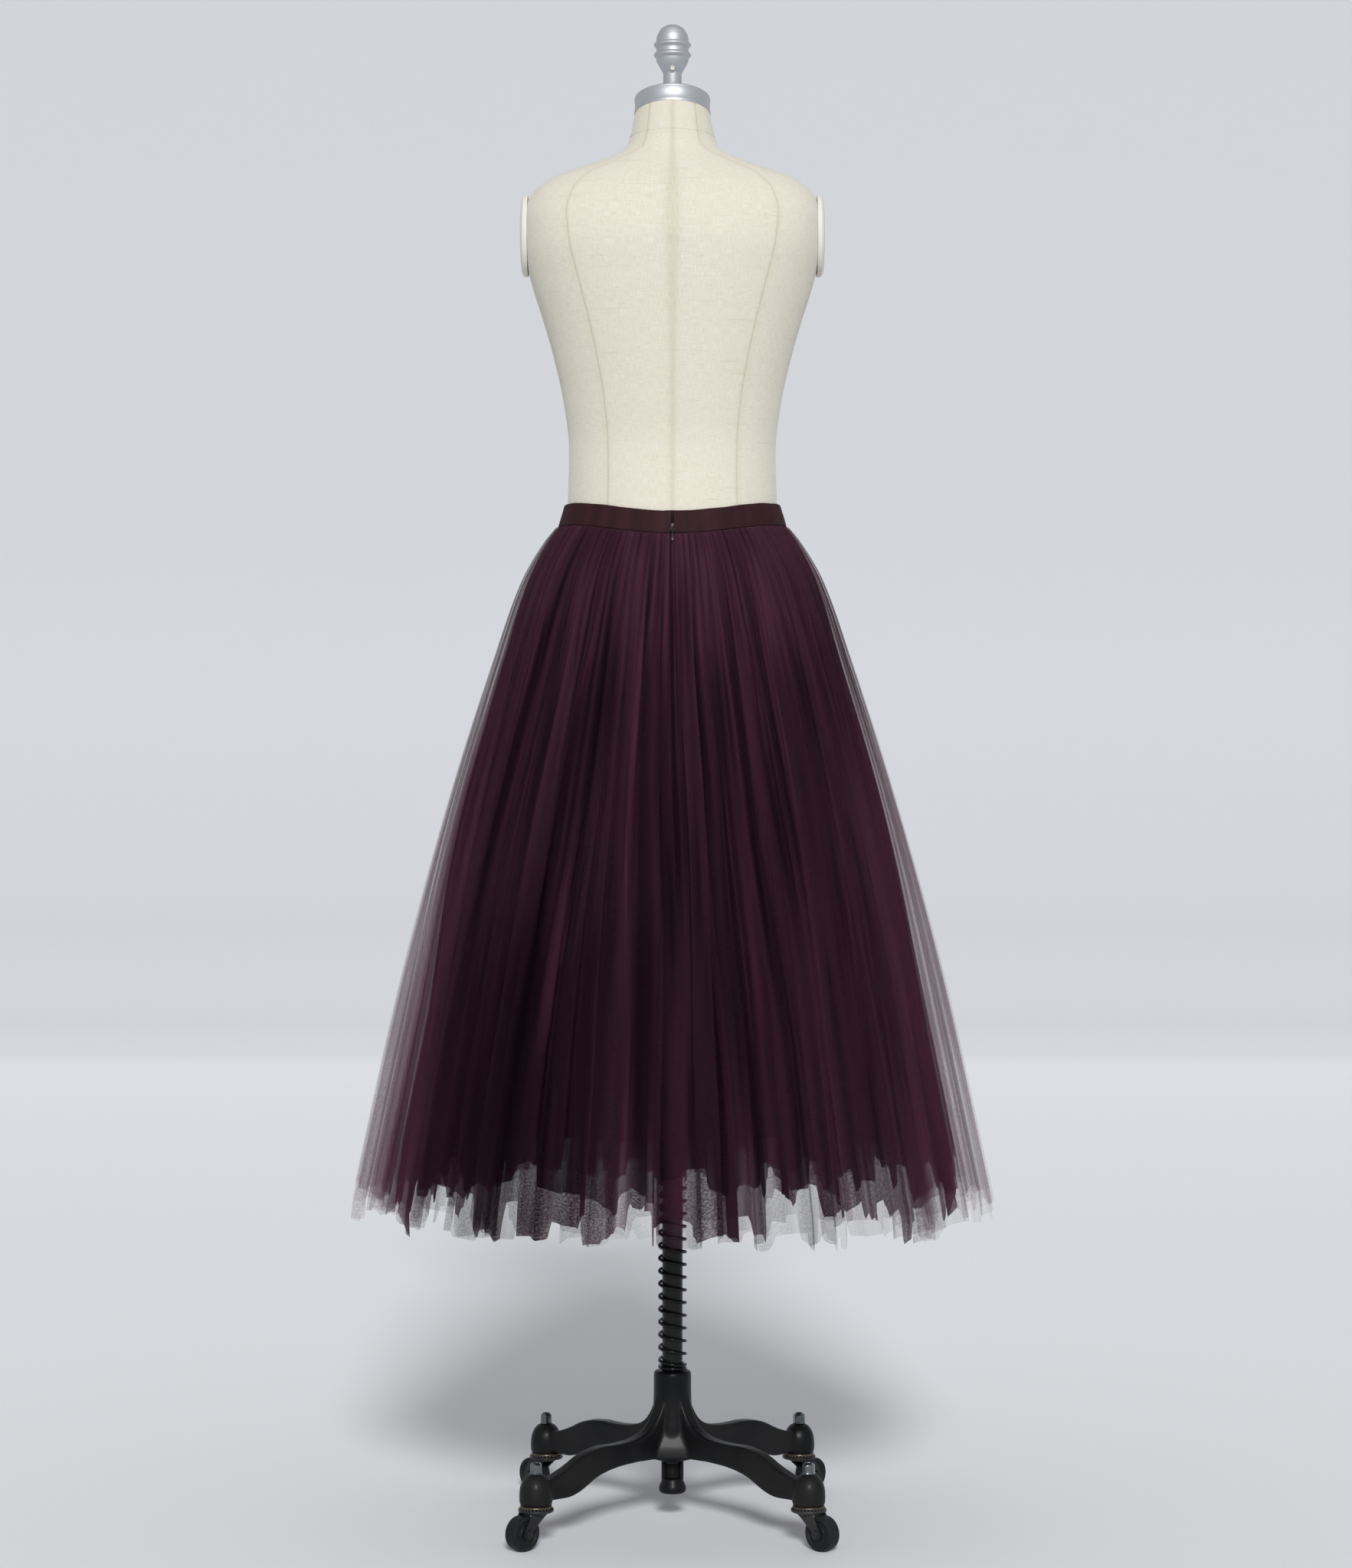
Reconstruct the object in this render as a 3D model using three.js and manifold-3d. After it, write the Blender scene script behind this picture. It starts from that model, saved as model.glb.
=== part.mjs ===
// A gathered tulle skirt on a limbless dress form with a rolling cast-iron stand.
// Millimetres, +Z up. The origin is on the floor under the pole, -Y is the skirt's centre back, where the zip is.
import * as THREE from "three";
import { mergeVertices } from "three/addons/utils/BufferGeometryUtils.js";
import Module from "manifold-3d";

const wasm = await Module();
wasm.setup();

const FIT = 0.3; // space left between two pieces that touch
const TAU = 2 * Math.PI;

// Driving dimensions of the form
const FORM_BOTTOM = 860;
const FORM_SIDES = 30;
const NECK_TILT = THREE.MathUtils.degToRad(13);
const NECK_TOP = 1583; // at the neck's axis
const CAP_RADIUS = 43;
const CAP_HEIGHT = 21;
const CAP_TOP = NECK_TOP + FIT + CAP_HEIGHT / Math.cos(NECK_TILT); // at the neck's axis
const FINIAL_TOP = 1685.6;
const SCREW = { radius: 2.4, hole: 2.8, length: 6, y: -11, z: 1634 };
const ARM_PLATE = { x: 162.5, z: 1447, halfHeight: 46, halfDepth: 40, thick: 8.5, rim: 4.5 };

// Driving dimensions of the skirt
const BAND_HEIGHT = 25;
const BAND_SIDE_TOP = 1143;
const BAND_FRONT_TOP = 1146;
const BAND_BACK_DIP = 13; // the band sags to the zip at centre back
const BAND_CLEAR = 1.1;
const BAND_THICK = 2.6;
const BAND_FLARE = 0.6;
const BAND_SLIT = 2.6;
const BAND_SPANS = 44;
const SEAM_GAP = 0.6;
const TULLE_WALL = 1.1;
const LINING_WALL = 1;

// Driving dimensions of the zip's slider and its pull
const SLIDER = { z: 1110.5, clear: 1.2, thick: 1.5, pinBelow: 3, pinOut: 4.7, pin: 0.55, ear: 1.9 };
const PULL = { length: 13.5, eye: 0.9, half: 1.1, tipHalf: 1.9, lean: 0.44 };

// Driving dimensions of the stand
const POLE_RADIUS = 11.5;
const POLE_BOTTOM = 47;
const POLE_TOP = 900;
const POLE_SIDES = 20;
const SLEEVE = { bottom: 492, top: 1000, bore: 11.9, outer: 15, collar: 17, collarHeight: 9, flange: 38 };
const BOARD = { thick: 6, inset: 4 };
const BORE_TOP = 1112; // how high the form's bore for the sleeve and the pole's travel reaches
const HUB = { bottom: 68, top: 168, bore: 11.9 };
const CASTER_X = 148; // caster stems stand at plus and minus this in X and Y
const CASTER_REACH = CASTER_X * Math.SQRT2;
const STEM = { shaft: 4, rivet: 6.2, race: 17.5, nut: 7, top: 92.6 };
const FORK = { plate: 19.5, bottom: 39.6, top: 43.5, bore: 4.35 };
const WHEEL = { radius: 19, half: 8, trail: 20, bore: 3.4, sides: 16 };
const SPRING = { bottom: HUB.top + FIT, top: SLEEVE.bottom - FIT, turns: 22, coil: 14.9, wire: 1.9, steps: 8 };

// Corner numbers go anticlockwise from the near left one in the photograph's view
const CORNERS = [225, 315, 45, 135].map((degrees, i) => {
  const angle = THREE.MathUtils.degToRad(degrees);
  return { number: i + 1, angle, x: CASTER_REACH * Math.cos(angle), y: CASTER_REACH * Math.sin(angle) };
});

// The form's cross-sections: half width, depth to the front and back of the axis, and how square the section is
const FORM_ROWS = [
  { at: FORM_BOTTOM, side: 151, front: 108, back: 112, square: 2 },
  { at: 970, side: 155, front: 109, back: 119, square: 2 },
  { at: 1018, side: 151, front: 107, back: 116, square: 2 },
  { at: 1060, side: 142, front: 102.5, back: 108, square: 2 },
  { at: 1105, side: 128.5, front: 97.5, back: 96.5, square: 2 },
  { at: 1125, side: 123, front: 94.4, back: 92.6, square: 2 },
  { at: 1146, side: 118, front: 91.5, back: 89.5, square: 2 },
  { at: 1206, side: 116.5, front: 88, back: 84, square: 2.05 },
  { at: 1258, side: 122.5, front: 94, back: 90, square: 2.1 },
  { at: 1310, side: 134, front: 105, back: 98, square: 2.2 },
  { at: 1352, side: 146, front: 112, back: 104, square: 2.3 },
  { at: 1390, side: 158, front: 112, back: 109, square: 2.4 },
  { at: 1430, side: 167, front: 103, back: 112, square: 2.6 },
  { at: 1462, side: 168.5, front: 90, back: 107, square: 2.7 },
  { at: 1488, side: 161, front: 74, back: 94, square: 2.6 },
  { at: 1508, side: 140, front: 60, back: 79, square: 2.4 },
  { at: 1522, side: 106, front: 52, back: 67, square: 2.2 },
  { at: 1534, side: 74, front: 49, back: 58, square: 2.1 },
  { at: 1550, side: 53, front: 46, back: 50, square: 2 },
  { at: NECK_TOP, side: 42.4, front: 42.4, back: 42.4, square: 2 },
];
const BUST = { z: 1385, x: 72, reach: 20, spreadX: 40, spreadZ: 38 };
const NECK_START = FORM_ROWS.at(-2).at;

// How far the skirt reaches out, by the drop below the waistband's seam
const SKIRT_ROWS = [
  { at: 0, side: 130.9, back: 102.6, front: 101.3 },
  { at: 18, side: 144.5, back: 113, front: 112 },
  { at: 61, side: 169, back: 138, front: 136 },
  { at: 148, side: 200.5, back: 175, front: 173 },
  { at: 300, side: 250, back: 230, front: 228 },
  { at: 520, side: 311.5, back: 297, front: 294 },
  { at: 758, side: 364.5, back: 351, front: 349 },
];
// Half height of each layer's folds and the space inside it, by the same drops
const FOLD_ROWS = [
  { at: 0, outer: 0, middle: 0, lining: 0, space: 0.65 },
  { at: 18, outer: 0.8, middle: 0.3, lining: 0.3, space: 0.7 },
  { at: 61, outer: 3.2, middle: 1.4, lining: 1, space: 1.3 },
  { at: 148, outer: 7.5, middle: 3, lining: 2.2, space: 2 },
  { at: 300, outer: 12, middle: 4.8, lining: 3.8, space: 2.6 },
  { at: 520, outer: 16, middle: 6.4, lining: 5.8, space: 3 },
  { at: 758, outer: 18, middle: 7.5, lining: 7, space: 3 },
];
// The layers from the outside in; edge is how far along a fold its flat outer strip starts
const LAYERS = {
  outer: { folds: 48, hem: 758, wall: TULLE_WALL, seed: 1.3, unevenHem: 7, edge: 0.07 },
  middle: { folds: 16, hem: 708, wall: TULLE_WALL, seed: 4.1, unevenHem: 5, edge: 0.1 },
  lining: { folds: 12, hem: 668, wall: LINING_WALL, seed: 7.7, unevenHem: 2, edge: 0.1 },
};

const MATERIAL = {
  tulle: new THREE.MeshStandardMaterial({ color: 0x3a1c2a, roughness: 0.8, metalness: 0 }),
  lining: new THREE.MeshStandardMaterial({ color: 0x4a1428, roughness: 0.55, metalness: 0 }),
  band: new THREE.MeshStandardMaterial({ color: 0x3c2023, roughness: 0.65, metalness: 0 }),
  zip: new THREE.MeshStandardMaterial({ color: 0x4a3640, roughness: 0.3, metalness: 0.8 }),
  linen: new THREE.MeshStandardMaterial({ color: 0xe6dfca, roughness: 0.85, metalness: 0 }),
  board: new THREE.MeshStandardMaterial({ color: 0xb89a6a, roughness: 0.7, metalness: 0 }),
  plate: new THREE.MeshStandardMaterial({ color: 0xe8e6de, roughness: 0.45, metalness: 0 }),
  silver: new THREE.MeshStandardMaterial({ color: 0xa9aeb4, roughness: 0.35, metalness: 0.9 }),
  iron: new THREE.MeshStandardMaterial({ color: 0x16181a, roughness: 0.45, metalness: 0.4 }),
  steel: new THREE.MeshStandardMaterial({ color: 0x4b4a48, roughness: 0.4, metalness: 0.9 }),
  spring: new THREE.MeshStandardMaterial({ color: 0x101214, roughness: 0.25, metalness: 0.6 }),
  tyre: new THREE.MeshStandardMaterial({ color: 0x1b1d1f, roughness: 0.6, metalness: 0 }),
};

// A table's column at a place between its rows, on a smooth curve that never overshoots a row
function between(rows, at, name) {
  const last = rows.length - 1;
  const next = rows.findIndex((row) => row.at > at);
  const i = next < 0 ? last - 1 : Math.max(next - 1, 0);
  const step = (k) => (rows[k + 1][name] - rows[k][name]) / (rows[k + 1].at - rows[k].at);
  const slope = (k) => {
    if (k === 0) return step(0);
    if (k === last) return step(last - 1);
    const [a, b] = [step(k - 1), step(k)];
    return a * b <= 0 ? 0 : (2 * a * b) / (a + b);
  };
  const width = rows[i + 1].at - rows[i].at;
  const t = THREE.MathUtils.clamp((at - rows[i].at) / width, 0, 1);
  const [t2, t3] = [t * t, t * t * t];
  return (
    (2 * t3 - 3 * t2 + 1) * rows[i][name] +
    (t3 - 2 * t2 + t) * width * slope(i) +
    (3 * t2 - 2 * t3) * rows[i + 1][name] +
    (t3 - t2) * width * slope(i + 1)
  );
}

// A repeatable number from 0 to 1 for fold number i
function uneven(i, seed) {
  const s = Math.sin(i * 12.9898 + seed * 78.233) * 43758.5453;
  return s - Math.floor(s);
}

const circleAngles = (n) => Array.from({ length: n }, (_, i) => (i / n) * TAU);

function meshOf(name, geometry, material) {
  const mesh = new THREE.Mesh(geometry, material);
  mesh.name = name;
  return mesh;
}

function geometryOf(points, triangles) {
  const geometry = new THREE.BufferGeometry();
  geometry.setAttribute("position", new THREE.Float32BufferAttribute(points.flatMap((p) => [p.x, p.y, p.z]), 3));
  geometry.setIndex(triangles.flat());
  geometry.computeVertexNormals();
  return geometry;
}

// A closed wall between two grids of points, rings[row][column], rows from top to bottom, columns anticlockwise
function wall(outer, inner, closed = true) {
  const rows = outer.length;
  const columns = outer[0].length;
  const points = [...outer.flat(), ...inner.flat()];
  const out = (r, c) => r * columns + (c % columns);
  const inn = (r, c) => rows * columns + out(r, c);
  const faces = [];
  const quad = (a, b, c, d) => faces.push([a, b, c], [a, c, d]);
  const spans = closed ? columns : columns - 1;
  for (let c = 0; c < spans; c++) {
    for (let r = 0; r < rows - 1; r++) {
      quad(out(r, c), out(r + 1, c), out(r + 1, c + 1), out(r, c + 1));
      quad(inn(r, c), inn(r, c + 1), inn(r + 1, c + 1), inn(r + 1, c));
    }
    quad(out(0, c), out(0, c + 1), inn(0, c + 1), inn(0, c));
    quad(out(rows - 1, c), inn(rows - 1, c), inn(rows - 1, c + 1), out(rows - 1, c + 1));
  }
  if (!closed) {
    for (let r = 0; r < rows - 1; r++) {
      quad(out(r, 0), inn(r, 0), inn(r + 1, 0), out(r + 1, 0));
      quad(out(r, columns - 1), out(r + 1, columns - 1), inn(r + 1, columns - 1), inn(r, columns - 1));
    }
  }
  return geometryOf(points, faces);
}

// A closed solid through rings of points, closed by a fan at both ends, rings from top to bottom
function loft(rings) {
  const columns = rings[0].length;
  const points = rings.flat();
  const faces = [];
  for (let r = 0; r < rings.length - 1; r++) {
    for (let c = 0; c < columns; c++) {
      const [a, b] = [r * columns + c, r * columns + ((c + 1) % columns)];
      faces.push([a, a + columns, b + columns], [a, b + columns, b]);
    }
  }
  const cap = (ring, start, up) => {
    const centre = points.length;
    points.push(ring.reduce((sum, p) => sum.add(p), new THREE.Vector3()).divideScalar(columns));
    for (let c = 0; c < columns; c++) {
      const [a, b] = [start + c, start + ((c + 1) % columns)];
      faces.push(up ? [centre, a, b] : [centre, b, a]);
    }
  };
  cap(rings[0], 0, true);
  cap(rings[rings.length - 1], (rings.length - 1) * columns, false);
  return geometryOf(points, faces);
}

// The closed polygon moved in by a distance, square to its sides, in the plane of X and Y
function movedIn(ring, distance) {
  const n = ring.length;
  return ring.map((p, i) => {
    const a = ring[(i + n - 1) % n];
    const b = ring[(i + 1) % n];
    const first = new THREE.Vector2(a.y - p.y, p.x - a.x).normalize();
    const second = new THREE.Vector2(p.y - b.y, b.x - p.x).normalize();
    const mid = first.clone().add(second).normalize();
    const reach = distance / Math.max(mid.dot(first), 0.5);
    return new THREE.Vector3(p.x + mid.x * reach, p.y + mid.y * reach, p.z);
  });
}

// A turned solid from [radius, height] pairs that go up its outside
function turned(profile, sides) {
  const lathe = new THREE.LatheGeometry(profile.map(([r, z]) => new THREE.Vector2(r, z)), sides);
  return lathe.rotateX(Math.PI / 2);
}

const rod = (radius, bottom, top, sides) => turned([[0, bottom], [radius, bottom], [radius, top], [0, top]], sides);

function solid(geometry) {
  const bare = new THREE.BufferGeometry();
  bare.setAttribute("position", geometry.getAttribute("position"));
  if (geometry.index) bare.setIndex(geometry.index);
  const merged = mergeVertices(bare, 1e-3);
  return new wasm.Manifold(
    new wasm.Mesh({
      numProp: 3,
      vertProperties: merged.attributes.position.array,
      triVerts: new Uint32Array(merged.index.array),
    }),
  );
}

function geometryFrom(manifold) {
  const mesh = manifold.getMesh();
  const geometry = new THREE.BufferGeometry();
  geometry.setAttribute("position", new THREE.BufferAttribute(new Float32Array(mesh.vertProperties), 3));
  geometry.setIndex(new THREE.BufferAttribute(new Uint32Array(mesh.triVerts), 1));
  return geometry;
}

const joined = (geometries) => geometries.map(solid).reduce((sum, s) => sum.add(s));

// Point on the form, or moved out from it, at an angle anticlockwise from +X and a height
function formPoint(angle, z, out = 0) {
  const [side, front, back, square] = ["side", "front", "back", "square"].map((n) => between(FORM_ROWS, z, n));
  const [c, s] = [Math.cos(angle), Math.sin(angle)];
  const depth = s > 0 ? front : back;
  const round = (v) => Math.sign(v) * Math.abs(v) ** (2 / square);
  const across = side * round(c);
  const p = new THREE.Vector2(THREE.MathUtils.clamp(across, -ARM_PLATE.x, ARM_PLATE.x), depth * round(s));
  if (p.y > 0) {
    const aside = (Math.abs(p.x) - BUST.x) / BUST.spreadX;
    const along = (z - BUST.z) / BUST.spreadZ;
    p.y += BUST.reach * Math.exp(-aside * aside - along * along) * Math.min(1, p.y / (0.6 * depth));
  }
  const normal = new THREE.Vector2(c / side, s / depth).normalize();
  const lean = Math.max(0, z - NECK_START) / (NECK_TOP - NECK_START);
  const height = z - lean * p.y * Math.tan(NECK_TILT);
  return new THREE.Vector3(p.x + normal.x * out, p.y + normal.y * out, height);
}

function formBody() {
  const rings = FORM_ROWS.map((row) => circleAngles(FORM_SIDES).map((a) => formPoint(a, row.at)));
  const bore = rod(SLEEVE.outer + FIT, FORM_BOTTOM - 10, BORE_TOP, POLE_SIDES);
  return geometryFrom(solid(loft(rings.reverse())).subtract(solid(bore)));
}

// The board that closes the form's underside, with a hole for the sleeve
function formBoard() {
  const top = FORM_BOTTOM - FIT;
  const ring = (z) => circleAngles(FORM_SIDES).map((a) => formPoint(a, FORM_BOTTOM, -BOARD.inset).setZ(z));
  const hole = rod(SLEEVE.outer + FIT, top - 20, top + 5, POLE_SIDES);
  return geometryFrom(solid(loft([ring(top), ring(top - BOARD.thick)])).subtract(solid(hole)));
}

// An oval plate with a domed face, flat against the flat of the shoulder's end
function armPlate(direction) {
  const { x, z, halfHeight, halfDepth, thick, rim } = ARM_PLATE;
  const oval = (share, out) =>
    circleAngles(16).map((a) => {
      const [across, up] = [share * halfDepth * Math.cos(a), share * halfHeight * Math.sin(a)];
      return new THREE.Vector3(direction * (x + FIT + out), across, z + up);
    });
  const rings = [oval(0.5, thick), oval(0.88, thick - 1.6), oval(1, rim), oval(1, 0)];
  return loft(direction > 0 ? rings : rings.map((ring) => ring.reverse()));
}

function neckCap() {
  const profile = [[0, 0], [CAP_RADIUS, 0], [CAP_RADIUS, CAP_HEIGHT - 2], [CAP_RADIUS - 2, CAP_HEIGHT],
    [0, CAP_HEIGHT]];
  return turned(profile, 24).rotateX(-NECK_TILT).translate(0, 0, NECK_TOP + FIT);
}

// The turned knob; its foot is cut to the slope of the cap
function finial() {
  const profile = [[0, 0], [10.5, 0], [10.5, 26], [13.5, 31], [17.6, 38], [18.6, 43.5], [21.1, 46], [18.6, 49.5],
    [18.4, 54.5], [21.1, 57.5], [18.4, 60.5], [17.3, 68], [13.2, 75.5], [6.8, 79.6], [0, FINIAL_TOP - CAP_TOP]];
  const geometry = turned(profile, 14).translate(0, 0, CAP_TOP);
  const p = geometry.attributes.position;
  for (let i = 0; i < p.count; i++) {
    if (p.getZ(i) < CAP_TOP + 1) p.setZ(i, p.getZ(i) + FIT - p.getY(i) * Math.tan(NECK_TILT));
  }
  const hole = new THREE.CylinderGeometry(SCREW.hole, SCREW.hole, SCREW.length + 4, 8).translate(0, SCREW.y, SCREW.z);
  return geometryFrom(solid(geometry).subtract(solid(hole)));
}

const finialScrew = () =>
  new THREE.CylinderGeometry(SCREW.radius, SCREW.radius, SCREW.length, 8).translate(0, SCREW.y, SCREW.z);

// Height of the waistband's top edge: level at the sides, with a shallow V down to the zip
function bandTop(angle) {
  const s = Math.sin(angle);
  return s > 0 ? BAND_SIDE_TOP + (BAND_FRONT_TOP - BAND_SIDE_TOP) * s ** 2 : BAND_SIDE_TOP - BAND_BACK_DIP * s ** 4;
}

function waistband() {
  const half = BAND_SLIT / 2 / -formPoint(-TAU / 4, BAND_SIDE_TOP - BAND_HEIGHT, BAND_THICK).y;
  const share = (i) => -TAU / 4 + half + (i / BAND_SPANS) * (TAU - 2 * half);
  const angles = Array.from({ length: BAND_SPANS + 1 }, (_, i) => share(i));
  const edge = (down, out) => angles.map((a) => formPoint(a, bandTop(a) - down * BAND_HEIGHT, BAND_CLEAR + out));
  const outer = [edge(0, BAND_THICK - 0.6), edge(0.08, BAND_THICK), edge(1, BAND_THICK + BAND_FLARE)];
  return wall(outer, [edge(0, 0), edge(0.08, 0), edge(1, 0)], false);
}

// One gathered layer. Each fold is a flat outer strip, a side, a flat inner strip and a side.
function layer(name) {
  const { folds, hem, wall: thick, seed, unevenHem, edge } = LAYERS[name];
  const outside = Object.keys(LAYERS).slice(0, Object.keys(LAYERS).indexOf(name));
  const drops = [...SKIRT_ROWS.map((row) => row.at).filter((d) => d < hem - 40), hem];
  const corners = [edge, 0.5 - edge, 0.5 + edge, 1 - edge];
  const widths = Array.from({ length: folds }, (_, i) => 0.75 + 0.5 * uneven(i, seed));
  const total = widths.reduce((sum, w) => sum + w, 0);
  const level = BAND_SIDE_TOP - BAND_HEIGHT - SEAM_GAP;
  const ringAt = (drop) => {
    const fold = (column) => between(FOLD_ROWS, drop, column);
    const inset = outside.reduce((sum, n) => sum + 2 * fold(n) + LAYERS[n].wall + fold("space"), 0);
    const pointAt = (angle, depth, move) => {
      const [c, s] = [Math.cos(angle), Math.sin(angle)];
      const a = between(SKIRT_ROWS, drop, "side");
      const b = between(SKIRT_ROWS, drop, s > 0 ? "front" : "back");
      const normal = new THREE.Vector2(c / a, s / b).normalize();
      const slope = (bandTop(angle) - BAND_SIDE_TOP) * (1 - drop / hem);
      return new THREE.Vector3(a * c - normal.x * depth, b * s - normal.y * depth, level - drop + slope + move);
    };
    const ring = [];
    let before = 0;
    for (let i = 0; i < folds; i++) {
      const high = 0.3 * uneven(i, seed + 1);
      const low = 1 - 0.25 * uneven(i, seed + 2);
      const move = drop === hem ? unevenHem * (2 * uneven(i, seed + 3) - 1) : 0;
      corners.forEach((corner, k) => {
        const depth = inset + 2 * fold(name) * (k < 2 ? high : low);
        ring.push(pointAt(((before + corner * widths[i]) / total) * TAU, depth, move));
      });
      before += widths[i];
    }
    return ring;
  };
  const rings = drops.map(ringAt);
  return wall(rings, rings.map((ring) => movedIn(ring, thick)));
}

// Where the slider's back rests on the waistband, and the pin that its pull hangs on
const sliderBack = formPoint(-TAU / 4, SLIDER.z, BAND_CLEAR + BAND_THICK + BAND_FLARE).y - SLIDER.clear;
const PIN = { y: sliderBack - SLIDER.pinOut, z: SLIDER.z - SLIDER.pinBelow };

function zipSlider() {
  const shape = new THREE.Shape();
  shape.moveTo(-1.6, -4.6);
  shape.lineTo(1.6, -4.6);
  shape.lineTo(2.5, 2.6);
  shape.quadraticCurveTo(2.4, 4.6, 0, 4.8);
  shape.quadraticCurveTo(-2.4, 4.6, -2.5, 2.6);
  const plate = new THREE.ExtrudeGeometry(shape, { depth: SLIDER.thick, bevelEnabled: false, curveSegments: 3 })
    .rotateX(Math.PI / 2)
    .translate(0, sliderBack, SLIDER.z);
  const depth = SLIDER.pinOut + 1;
  const ear = (x) => new THREE.BoxGeometry(0.8, depth, 2).translate(x, sliderBack - depth / 2, PIN.z);
  const pin = new THREE.CylinderGeometry(SLIDER.pin, SLIDER.pin, 2 * SLIDER.ear + 0.4, 8)
    .rotateZ(Math.PI / 2)
    .translate(0, PIN.y, PIN.z);
  return geometryFrom(joined([plate, ear(-SLIDER.ear), ear(SLIDER.ear), pin]));
}

// A thin drop-shaped blade with a thicker eye round the slider's pin
function zipPull() {
  const { length, eye, half, tipHalf, lean } = PULL;
  const shape = new THREE.Shape();
  shape.moveTo(-half, 1.4);
  shape.lineTo(-half, -3);
  shape.lineTo(-tipHalf, 1.6 - length);
  shape.quadraticCurveTo(0, -length - 0.9, tipHalf, 1.6 - length);
  shape.lineTo(half, -3);
  shape.lineTo(half, 1.4);
  const thick = 2 * (eye + 0.7);
  const blade = new THREE.ExtrudeGeometry(shape, { depth: thick, bevelEnabled: false, curveSegments: 4 })
    .rotateX(Math.PI / 2)
    .translate(0, thick / 2, 0);
  const hole = new THREE.CylinderGeometry(eye, eye, 4, 8).rotateZ(Math.PI / 2);
  const shave = (y) => solid(new THREE.BoxGeometry(8, 1.1, 14).translate(0, y, -9.1));
  const flat = solid(blade).subtract(solid(hole)).subtract(shave(1.05)).subtract(shave(-1.05));
  return geometryFrom(flat).rotateX(-lean).translate(0, PIN.y, PIN.z);
}

function sleeve() {
  const { bottom, top, bore, outer, collar, collarHeight, flange } = SLEEVE;
  const under = FORM_BOTTOM - FIT - BOARD.thick - FIT;
  const profile = [[bore, bottom], [collar, bottom], [collar, bottom + collarHeight], [outer, bottom + collarHeight],
    [outer, under - 5], [flange, under - 5], [flange, under], [outer, under], [outer, top], [bore, top],
    [bore, bottom]];
  return turned(profile, POLE_SIDES);
}

const pole = () => turned([[0, POLE_BOTTOM], [9.8, POLE_BOTTOM], [POLE_RADIUS, HUB.bottom - 1],
  [POLE_RADIUS, POLE_TOP], [0, POLE_TOP]], POLE_SIDES);

const poleFoot = () => turned([[0, 30], [12.5, 30], [15.3, 33], [15.3, 37], [12.2, 43], [9.6, POLE_BOTTOM - FIT],
  [0, POLE_BOTTOM - FIT]], 14);

// The left-hand spring's centre line, with one closed turn at each end
class Coil extends THREE.Curve {
  getPoint(t, target = new THREE.Vector3()) {
    const { bottom, top, turns, coil, wire } = SPRING;
    const turn = t * turns;
    const closed = 2 * wire + 0.3;
    const open = (top - bottom - 2 * wire - 2 * closed) / (turns - 2);
    const middle = THREE.MathUtils.clamp(turn - 1, 0, turns - 2);
    const z = bottom + wire + (turn - middle) * closed + middle * open;
    return target.set(coil * Math.cos(turn * TAU), -coil * Math.sin(turn * TAU), z);
  }
}

function spring() {
  const { wire, turns, steps } = SPRING;
  const section = new THREE.Shape(circleAngles(3).map((a) => new THREE.Vector2(wire * Math.cos(a), wire * Math.sin(a))));
  return new THREE.ExtrudeGeometry(section, { steps: steps * turns, extrudePath: new Coil(), bevelEnabled: false });
}

// One cast arm in its own frame, running out along +X
function arm() {
  const width = 17;
  const shape = new THREE.Shape();
  shape.moveTo(14, 72);
  shape.lineTo(60, 73);
  shape.quadraticCurveTo(112, 73, 134, 60);
  shape.quadraticCurveTo(156, 48, 172, 49);
  shape.lineTo(CASTER_REACH - 4, 50);
  shape.lineTo(CASTER_REACH - 4, 70);
  shape.quadraticCurveTo(172, 77, 150, 89);
  shape.quadraticCurveTo(128, 99, 96, 97);
  shape.quadraticCurveTo(56, 96, 40, 107);
  shape.quadraticCurveTo(24, 119, 20, 144);
  shape.lineTo(14, 144);
  const made = new THREE.ExtrudeGeometry(shape, { depth: width, bevelEnabled: false, curveSegments: 4 });
  return made.rotateX(Math.PI / 2).translate(0, width / 2, 0);
}

function baseCasting() {
  const hub = turned([[0, HUB.bottom], [21, HUB.bottom], [24, 72], [25, 88], [24, 108], [21.6, 132], [21.2, 164],
    [19, HUB.top], [0, HUB.top]], POLE_SIDES);
  // A four-sided web that fills the corners between hub and arms
  const web = turned([[0, 72.5], [44, 72.5], [41, 84], [34, 98], [28, 112], [23, 128], [20, 142], [0, 142]], 4);
  const boss = turned([[0, 47], [17, 47], [18, 49.5], [18, 61], [15.5, 72], [9, 79.5], [0, 81]], 10);
  const stemHole = rod(STEM.shaft + 0.5, 40, 90, 10);
  const pieces = [hub, web.rotateZ(TAU / 8)];
  const bores = [rod(HUB.bore, HUB.bottom - 5, HUB.top + 5, POLE_SIDES)];
  for (const corner of CORNERS) {
    pieces.push(arm().rotateZ(corner.angle));
    pieces.push(boss.clone().translate(corner.x, corner.y, 0));
    bores.push(stemHole.clone().translate(corner.x, corner.y, 0));
  }
  return geometryFrom(joined(pieces).subtract(joined(bores)));
}

// The fixed stem through a boss: the race under it, the nut on top and the rivet head under the fork
function casterStem() {
  const shaft = turned([[0, 36.4], [STEM.rivet, 36.4], [STEM.rivet, 38.6], [STEM.shaft, 38.6], [STEM.shaft, 43.9],
    [STEM.race, 43.9], [STEM.race, 46.7], [STEM.shaft, 46.7], [STEM.shaft, 82], [0, 82]], 10);
  const nut = turned([[0, 81.3], [STEM.nut, 81.3], [STEM.nut, STEM.top - 2.5], [STEM.nut - 2, STEM.top - 0.6],
    [0, STEM.top]], 6);
  return geometryFrom(joined([shaft, nut]));
}

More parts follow.
